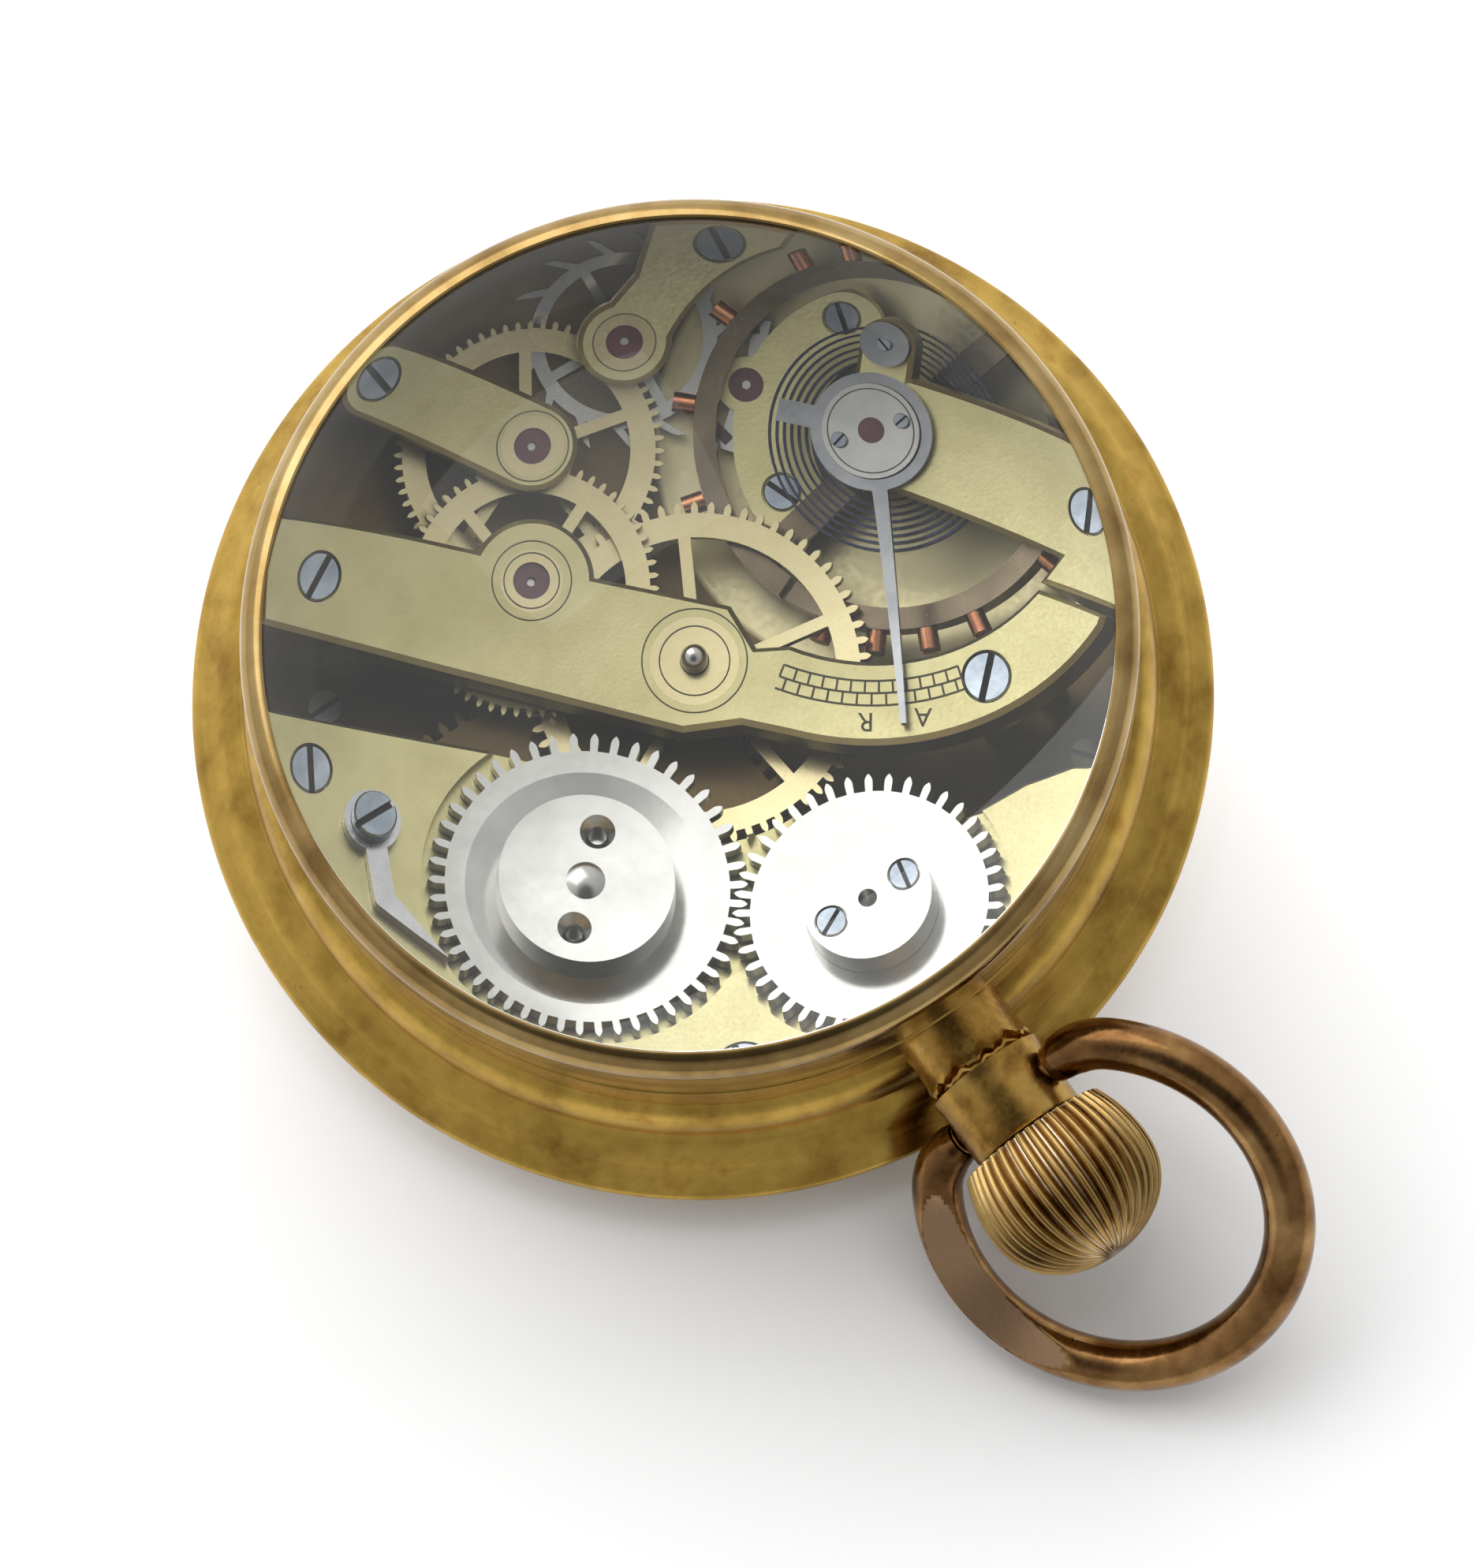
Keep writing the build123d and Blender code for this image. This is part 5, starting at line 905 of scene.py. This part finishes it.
# %% [markdown]
# Every screw gets a slotted head. Their places and sizes are read from the CAD pieces: faces that touch
# belong to one screw, and its box gives the centre, the radius and the height of its top. This way no list
# of screws is needed, and a screw that moves in the CAD model moves here as well.
# %% Finding the screws
def islands(name):
    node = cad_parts[name]
    spots = [node.matrix_world @ v.co for v in node.data.vertices]
    keys = [tuple(round(c * 1e6) for c in spot) for spot in spots]
    parent = {key: key for key in keys}

    def root(key):
        while parent[key] != key:
            parent[key] = parent[parent[key]]
            key = parent[key]
        return key

    for face in node.data.polygons:
        first = root(keys[face.vertices[0]])
        for index in face.vertices[1:]:
            parent[root(keys[index])] = first
    groups = {}
    for key, spot in zip(keys, spots):
        groups.setdefault(root(key), []).append(spot)
    found = []
    for group in groups.values():
        low = [min(spot[i] for spot in group) for i in range(3)]
        high = [max(spot[i] for spot in group) for i in range(3)]
        centre = ((low[0] + high[0]) / 2, (low[1] + high[1]) / 2, high[2])
        found.append((centre, (high[0] - low[0]) / 2))
    return found


SCREWS = {name: islands(name) for name in ("bridge_screws", "small_screws", "tiny_screws")}
print("screws found:", {name: len(spots) for name, spots in SCREWS.items()})

# %% [markdown]
# One head serves all screws. It has a radius of one and is scaled to each screw. Two half discs with a gap
# between them leave the slot, a floor closes it, and a shank goes down from below. A Boolean could cut the
# slot, but this head needs few faces, and the walls of the slot can be marked for their dark tone, which
# is painted shade.
# %% Slotted head
SLOT, SLOT_DEEP, HEAD_TALL, SOFT, HEAD_STEPS = 0.15, 0.3, 0.5, 0.07, 24
SHANK, SHANK_FOOT, SHANK_SIDES = 0.4, -2.2, 16
LEVELS = ((1 - SOFT, 0.0), (1.0, -SOFT), (1.0, -SLOT_DEEP), (1.0, -HEAD_TALL))


def half_discs():
    verts, arcs = [], {}
    for side in (1, -1):
        for level, (r, z) in enumerate(LEVELS):
            limit = math.acos(SLOT / r)
            arcs[side, level] = range(len(verts), len(verts) + HEAD_STEPS + 1)
            for k in range(HEAD_STEPS + 1):
                turn = -limit + 2 * limit * k / HEAD_STEPS
                verts.append((side * r * math.cos(turn), side * r * math.sin(turn), z))
    return verts, arcs


def head_faces(arcs):
    bright, dark = [], []
    for side in (1, -1):
        top, edge, slot_floor, under = (arcs[side, level] for level in range(4))
        bright.append(tuple(top))
        for upper, lower in ((top, edge), (edge, slot_floor), (slot_floor, under)):
            bright += [(upper[k], lower[k], lower[k + 1], upper[k + 1]) for k in range(HEAD_STEPS)]
        dark.append((top[0], top[-1], edge[-1], slot_floor[-1], slot_floor[0], edge[0]))
        bright.append((slot_floor[-1], arcs[-side, 2][0], arcs[-side, 3][0], under[-1]))
    dark.append((arcs[1, 2][0], arcs[1, 2][-1], arcs[-1, 2][0], arcs[-1, 2][-1]))
    bright.append(tuple(arcs[1, 3]) + tuple(arcs[-1, 3]))
    return bright, dark


def slotted_head():
    verts, arcs = half_discs()
    bright, dark = head_faces(arcs)
    start = len(verts)
    turns = [2 * math.pi * k / SHANK_SIDES for k in range(SHANK_SIDES)]
    for z in (-HEAD_TALL, SHANK_FOOT):
        verts += [(SHANK * math.cos(turn), SHANK * math.sin(turn), z) for turn in turns]
    upper = range(start, start + SHANK_SIDES)
    lower = range(start + SHANK_SIDES, start + 2 * SHANK_SIDES)
    bright += [(upper[k - 1], lower[k - 1], lower[k], upper[k]) for k in range(SHANK_SIDES)]
    bright += [tuple(upper), tuple(lower)]
    mesh = bpy.data.meshes.new("slotted_head")
    mesh.from_pydata(verts, [], bright + dark)
    # The slot's walls and floor get the dark tone, painted shade inside the slot.
    tones = [0.0] * len(bright) + [1.0] * len(dark)
    mesh.attributes.new("groove", "FLOAT", "FACE").data.foreach_set("value", tones)
    face_outwards(mesh)
    return add_object("slotted_head", mesh)


head = slotted_head()
print("faces of a head:", len(head.data.polygons))

# %% [markdown]
# The tree of copies now puts the head on every screw. A screw stops where it is tight, so the slots point
# in mixed directions. They are drawn from a fixed seed, and the picture stays the same each time.
# %% Screws
mixed = random.Random(5)
for name, spots in SCREWS.items():
    centres = [centre for centre, radius in spots]
    radii = [radius for centre, radius in spots]
    turns = [mixed.uniform(0, math.pi) for spot in spots]
    screws = copies(name + "_slotted", head, screw_steel, centres, turns, radii)
    ride_for(screws, "case", "screw_steel", name)
    print(screws.name, len(spots))
bpy.data.objects.remove(head)

# %% [markdown]
# Tools for marks. Engraved and printed marks are thin bodies that stand a hair above their surface. They
# could be a picture on the surface, but then they would blur under the magnifying glass. Text starts as a
# font curve and is made a mesh before it is moved to its place.
# %% Tools for marks
PRINT_HALF, BAND_HALF = 0.008, 0.01


def bar(name, length, width, thick):
    x, y, z = length * MM / 2, width * MM / 2, thick * MM / 2
    corners = [(a * x, b * y, c * z) for a in (-1, 1) for b in (-1, 1) for c in (-1, 1)]
    sides = [(0, 1, 3, 2), (4, 6, 7, 5), (0, 4, 5, 1), (2, 3, 7, 6), (0, 2, 6, 4), (1, 5, 7, 3)]
    mesh = bpy.data.meshes.new(name)
    mesh.from_pydata(corners, [], sides)
    return add_object(name, mesh)


def letters(name, body, size, place, turn, flip, material):
    curve = bpy.data.curves.new(name, "FONT")
    curve.body, curve.size, curve.extrude = body, size * MM, PRINT_HALF * MM
    curve.align_x, curve.align_y = "CENTER", "CENTER"
    text = add_object(name, curve)
    mesh = plain_mesh(text)
    bpy.data.objects.remove(text)
    over = Matrix.Rotation(math.pi, 4, "X") if flip else Matrix.Identity(4)
    where = Vector(place) * MM + AXIS
    mesh.transform(Matrix.Translation(where) @ Matrix.Rotation(turn, 4, "Z") @ over)
    mesh.materials.clear()
    mesh.materials.append(material)
    return add_object(name, mesh)


def band(centre, radius, half_width, level, turns, closed):
    verts, faces = [], []
    count = len(turns)
    for turn in turns:
        for dr in (-half_width, half_width):
            for dz in (-BAND_HALF, BAND_HALF):
                verts.append((*in_case(*from_pivot(centre, radius + dr, turn)), level + dz))
    for k in range(count if closed else count - 1):
        a, b = 4 * k, 4 * ((k + 1) % count)
        faces += [(a + i, a + j, b + j, b + i) for i, j in ((0, 1), (1, 3), (3, 2), (2, 0))]
    if not closed:
        end = 4 * (count - 1)
        faces += [(0, 1, 3, 2), (end, end + 2, end + 3, end + 1)]
    return verts, faces


print("tools for marks ready")

# %% [markdown]
# The regulator scale shows how far the pointer has been moved to make the watch slower or faster. It is a
# double row of rungs between three thin arcs round the balance, with the two letters for slow and fast
# beside it. The rungs repeat, so the tree of copies makes them; each is turned to face the balance.
# %% Regulator scale
BRIDGE_TOP = 13.505
SPAN_START, SPAN_END, RUNGS, ARC_STEPS = -110.5, -69.5, 13, 60
SCALE_RADII, ROW_SHIFTS, ARC_HALF = (10.98, 11.52, 12.06), (0.0, 0.5), 0.045
LETTER_SIZE, LETTER_PLACES = 1.2, {"R": (7.45, -2.62), "A": (10.0, -2.4)}


def scale_turn(share):
    return math.radians(SPAN_START + (SPAN_END - SPAN_START) * share)


rung = bar("rung", 0.54, 0.09, 0.02)
rung_places, rung_turns = [], []
for inner, outer, shift in zip(SCALE_RADII, SCALE_RADII[1:], ROW_SHIFTS):
    for k in range(RUNGS + 1):
        turn = scale_turn(min(1.0, (k + shift) / RUNGS))
        x, y = in_case(*from_pivot(balance, (inner + outer) / 2, turn))
        rung_places.append(Vector((x, y, BRIDGE_TOP)) * MM + AXIS)
        rung_turns.append(turn + TURN)
rungs = copies("scale_rungs", rung, engraving_and_edge_shade, rung_places, rung_turns, [1.0] * len(rung_places))
ride_for(rungs, "case", "gilt_brass")
bpy.data.objects.remove(rung)

arc_turns = [scale_turn(k / ARC_STEPS) for k in range(ARC_STEPS + 1)]
scale_lines = joined(band(balance, radius, ARC_HALF, BRIDGE_TOP, arc_turns, False) for radius in SCALE_RADII)
ride_for(mesh_piece("scale_arcs", *scale_lines, engraving_and_edge_shade), "case", "gilt_brass")
for body, spot in LETTER_PLACES.items():
    place = (*in_case(*spot), BRIDGE_TOP)
    mark = letters("scale_letter_" + body, body, LETTER_SIZE, place, TURN + math.pi, False, engraving_and_edge_shade)
    ride_for(mark, "case", "gilt_brass")
print("rungs:", len(rung_places), "arcs:", len(SCALE_RADII), "letters:", len(LETTER_PLACES))

# %% [markdown]
# Round the pivots the bridges get thin dark rings. The ring on the cap of the balance is painted shade
# for the dark edge of its chamfer. They lie at three levels: on the train bridge, on the two small cocks
# and on the cap of the balance.
# %% Dark rings round the pivots
COCK_TOP, CAP_TOP = 13.205, 14.155
RING_HALF, RING_STEPS = 0.03, 96
turned_rings = (
    (CENTRE, 2.25, BRIDGE_TOP), (CENTRE, 1.5, BRIDGE_TOP),
    (third, 1.72, BRIDGE_TOP), (third, 1.2, BRIDGE_TOP),
    # The cap's ring is painted shade for the dark edge of its chamfer.
    (fourth, 1.55, COCK_TOP), (escape, 1.35, COCK_TOP), (balance, 1.95, CAP_TOP),
)
full_turn = [2 * math.pi * k / RING_STEPS for k in range(RING_STEPS)]
bands = [band(pivot, radius, RING_HALF, top, full_turn, True) for pivot, radius, top in turned_rings]
ride_for(mesh_piece("turned_rings", *joined(bands), engraving_and_edge_shade), "case", "gilt_brass")
print("turned rings:", len(turned_rings))

# %% [markdown]
# On the other side the dial has plain numbers, a track of minute marks and a small track for the seconds,
# whose centre is the fourth wheel's pivot. Every fifth mark is larger. The numbers are turned over, because
# the dial is read from below.
# %% Dial
FACE, MINUTES, FIFTH = 5.295, 60, 1.5
SECONDS_AT = in_case(*fourth)
TRACKS = ((20.0, CENTRE, 1.0), (3.75, SECONDS_AT, 0.4))
NUMBER_RADIUS, NUMBER_SIZE = 17.1, 3.1

minute = bar("minute_mark", 0.9, 0.13, 0.02)
mark_places, mark_turns, mark_sizes = [], [], []
for radius, centre, size in TRACKS:
    for k in range(MINUTES):
        turn = 2 * math.pi * k / MINUTES
        mark_places.append(Vector((*from_pivot(centre, radius, turn), FACE)) * MM + AXIS)
        mark_turns.append(turn)
        mark_sizes.append(size * (FIFTH if k % 5 == 0 else 1.0))
marks = copies("dial_marks", minute, ink, mark_places, mark_turns, mark_sizes)
ride_for(marks, "case", "dial_enamel")
bpy.data.objects.remove(minute)

for hour in range(1, 13):
    turn = math.radians(30 * hour)
    place = (NUMBER_RADIUS * math.sin(turn), -NUMBER_RADIUS * math.cos(turn), FACE)
    number = letters("hour_%02d" % hour, str(hour), NUMBER_SIZE, place, 0.0, True, ink)
    ride_for(number, "case", "dial_enamel")
print("dial marks:", len(mark_places), "numbers: 12")

# %% [markdown]
# The watch lies on a glossy white table. A plain white floor would be grey in its own soft shadow, so the
# table also glows a little where the camera sees it, directly, mirrored or through the glass. Ambient
# occlusion finds the floor near the watch: on the near side it takes glow away, a painted shadow, and on
# the far side it adds glow that paints the shadow out.
# %% Table
BACK = Vector((0.575, 0.818, 0.0))
TABLE_SIZE, TABLE_DROP, TABLE_WHITE = 6.0, -0.0002, (0.9, 0.9, 0.9, 1)
GLOW, SHADE_REACH = 0.34, 0.10
NEAR_FAR = {"From_Min": -0.015, "From_Max": 0.03, "To_Min": 1.0, "To_Max": -0.9}


def glowing_white(name):
    material = bpy.data.materials.new(name)
    material.use_nodes = True
    tree = material.node_tree
    shader = tree.nodes["Principled BSDF"]
    shader.inputs["Base Color"].default_value = TABLE_WHITE
    cloud = socket(tree, "ShaderNodeTexNoise", Scale=6.0, Detail=2.0).outputs["Fac"]
    link(tree, spread(tree, cloud, To_Min=0.10, To_Max=0.16), shader.inputs["Roughness"])
    nearby = socket(tree, "ShaderNodeAmbientOcclusion", Distance=SHADE_REACH)
    covered = sum_node(tree, "SUBTRACT", 1.0, nearby.outputs["AO"])
    ahead = vector_node(tree, "DOT_PRODUCT", object_place(tree), -BACK)["Value"]
    # Painted shadow in front of the watch, painted light behind it.
    change = sum_node(tree, "MULTIPLY", covered, spread(tree, ahead, **NEAR_FAR))
    glow = socket(tree, "ShaderNodeEmission")
    strength = sum_node(tree, "MAXIMUM", sum_node(tree, "ADD", change, GLOW), 0.0)
    link(tree, strength, glow.inputs["Strength"])
    lit = socket(tree, "ShaderNodeAddShader")
    link(tree, shader.outputs["BSDF"], lit.inputs[0])
    link(tree, glow.outputs["Emission"], lit.inputs[1])
    ray = socket(tree, "ShaderNodeLightPath").outputs
    mirrored = sum_node(tree, "MAXIMUM", ray["Is Camera Ray"], ray["Is Glossy Ray"])
    shown = sum_node(tree, "MAXIMUM", mirrored, ray["Is Transmission Ray"])
    surface = mixed_shader(tree, shown, shader.outputs["BSDF"], lit.outputs["Shader"])
    link(tree, surface, tree.nodes["Material Output"].inputs["Surface"])
    return material


bpy.ops.mesh.primitive_plane_add(size=TABLE_SIZE, location=(0, 0, TABLE_DROP))
floor = bpy.context.object
floor.name = "white_table"
floor.data.materials.append(glowing_white("white table"))
print("table:", floor.name)

# %% [markdown]
# Polished metal shows the room round it, so the room is a soft fade from dark in front to bright behind
# and above. High up on the near side it is dimmer: the dome mirrors that part towards the camera, and
# stays clear when there is little to mirror. Many lamps could do this as well, but a fade has no edges.
# %% Room
LEFT = Vector((-0.818, 0.575, 0.0))
BRIGHT_SIDE = BACK * 0.75 + LEFT * 0.35 + UP * 0.55
DIM_SIDE = UP * 0.906 - BACK * 0.423
GREYS = ((0.0, 0.32), (0.125, 0.46), (0.5, 0.6), (0.775, 0.84), (1.0, 1.3))

world = bpy.data.worlds.new("studio")
bpy.context.scene.world = world
world.use_nodes = True
room = world.node_tree
ground = room.nodes["Background"]
sky = socket(room, "ShaderNodeTexCoord").outputs["Generated"]
toward_bright = vector_node(room, "DOT_PRODUCT", sky, BRIGHT_SIDE)["Value"]
fade = spread(room, toward_bright, From_Min=-1.0, From_Max=1.0)
grey_stops = [(place, (grey, grey, grey)) for place, grey in GREYS]
link(room, ramp_of(room, fade, grey_stops), ground.inputs["Color"])
toward_dim = vector_node(room, "DOT_PRODUCT", sky, DIM_SIDE)["Value"]
dim = spread(room, toward_dim, From_Min=0.80, From_Max=0.95, To_Min=1.0, To_Max=0.15)
link(room, dim, ground.inputs["Strength"])
print("room:", world.name)

# %% [markdown]
# One wide softbox stands behind, to the left and above. It gives the brass its bright lines and the watch
# its soft shadow.
# %% Key light
SOFTBOX_SIZE, SOFTBOX_POWER, SOFTBOX_AIM = 1.4, 9.0, Vector((0, 0, 0.01))
SOFTBOX_PLACE = BACK * 0.9 + LEFT * 0.6 + UP * 1.1

softbox = bpy.data.lights.new("key softbox", "AREA")
softbox.shape = "RECTANGLE"
softbox.size, softbox.size_y = SOFTBOX_SIZE, SOFTBOX_SIZE
softbox.energy = SOFTBOX_POWER
lamp = add_object("key softbox", softbox)
lamp.location = SOFTBOX_PLACE
lamp.rotation_mode = "QUATERNION"
lamp.rotation_quaternion = (SOFTBOX_AIM - SOFTBOX_PLACE).to_track_quat("-Z", "Y")
print("light:", lamp.name)

# %% [markdown]
# The camera looks down steeply with a long lens, as for a picture of a small object. Its place and turn
# were fitted so that the rims fall where the picture has them.
# %% Camera
EYE_PLACE = (-0.038329, -0.090089, 0.44407)
EYE_TURN = (0.947697, 0.102711, -0.010662, -0.302005)

eye = bpy.data.cameras.new("eye")
eye.lens, eye.sensor_width = 176.0, 36.0
eye.clip_start, eye.clip_end = 0.01, 10.0
camera = add_object("eye", eye)
camera.location = Vector(EYE_PLACE) + AXIS
camera.rotation_mode = "QUATERNION"
camera.rotation_quaternion = EYE_TURN
bpy.context.scene.camera = camera
bpy.context.scene.view_settings.view_transform = "Standard"
print("camera lens in mm:", eye.lens)
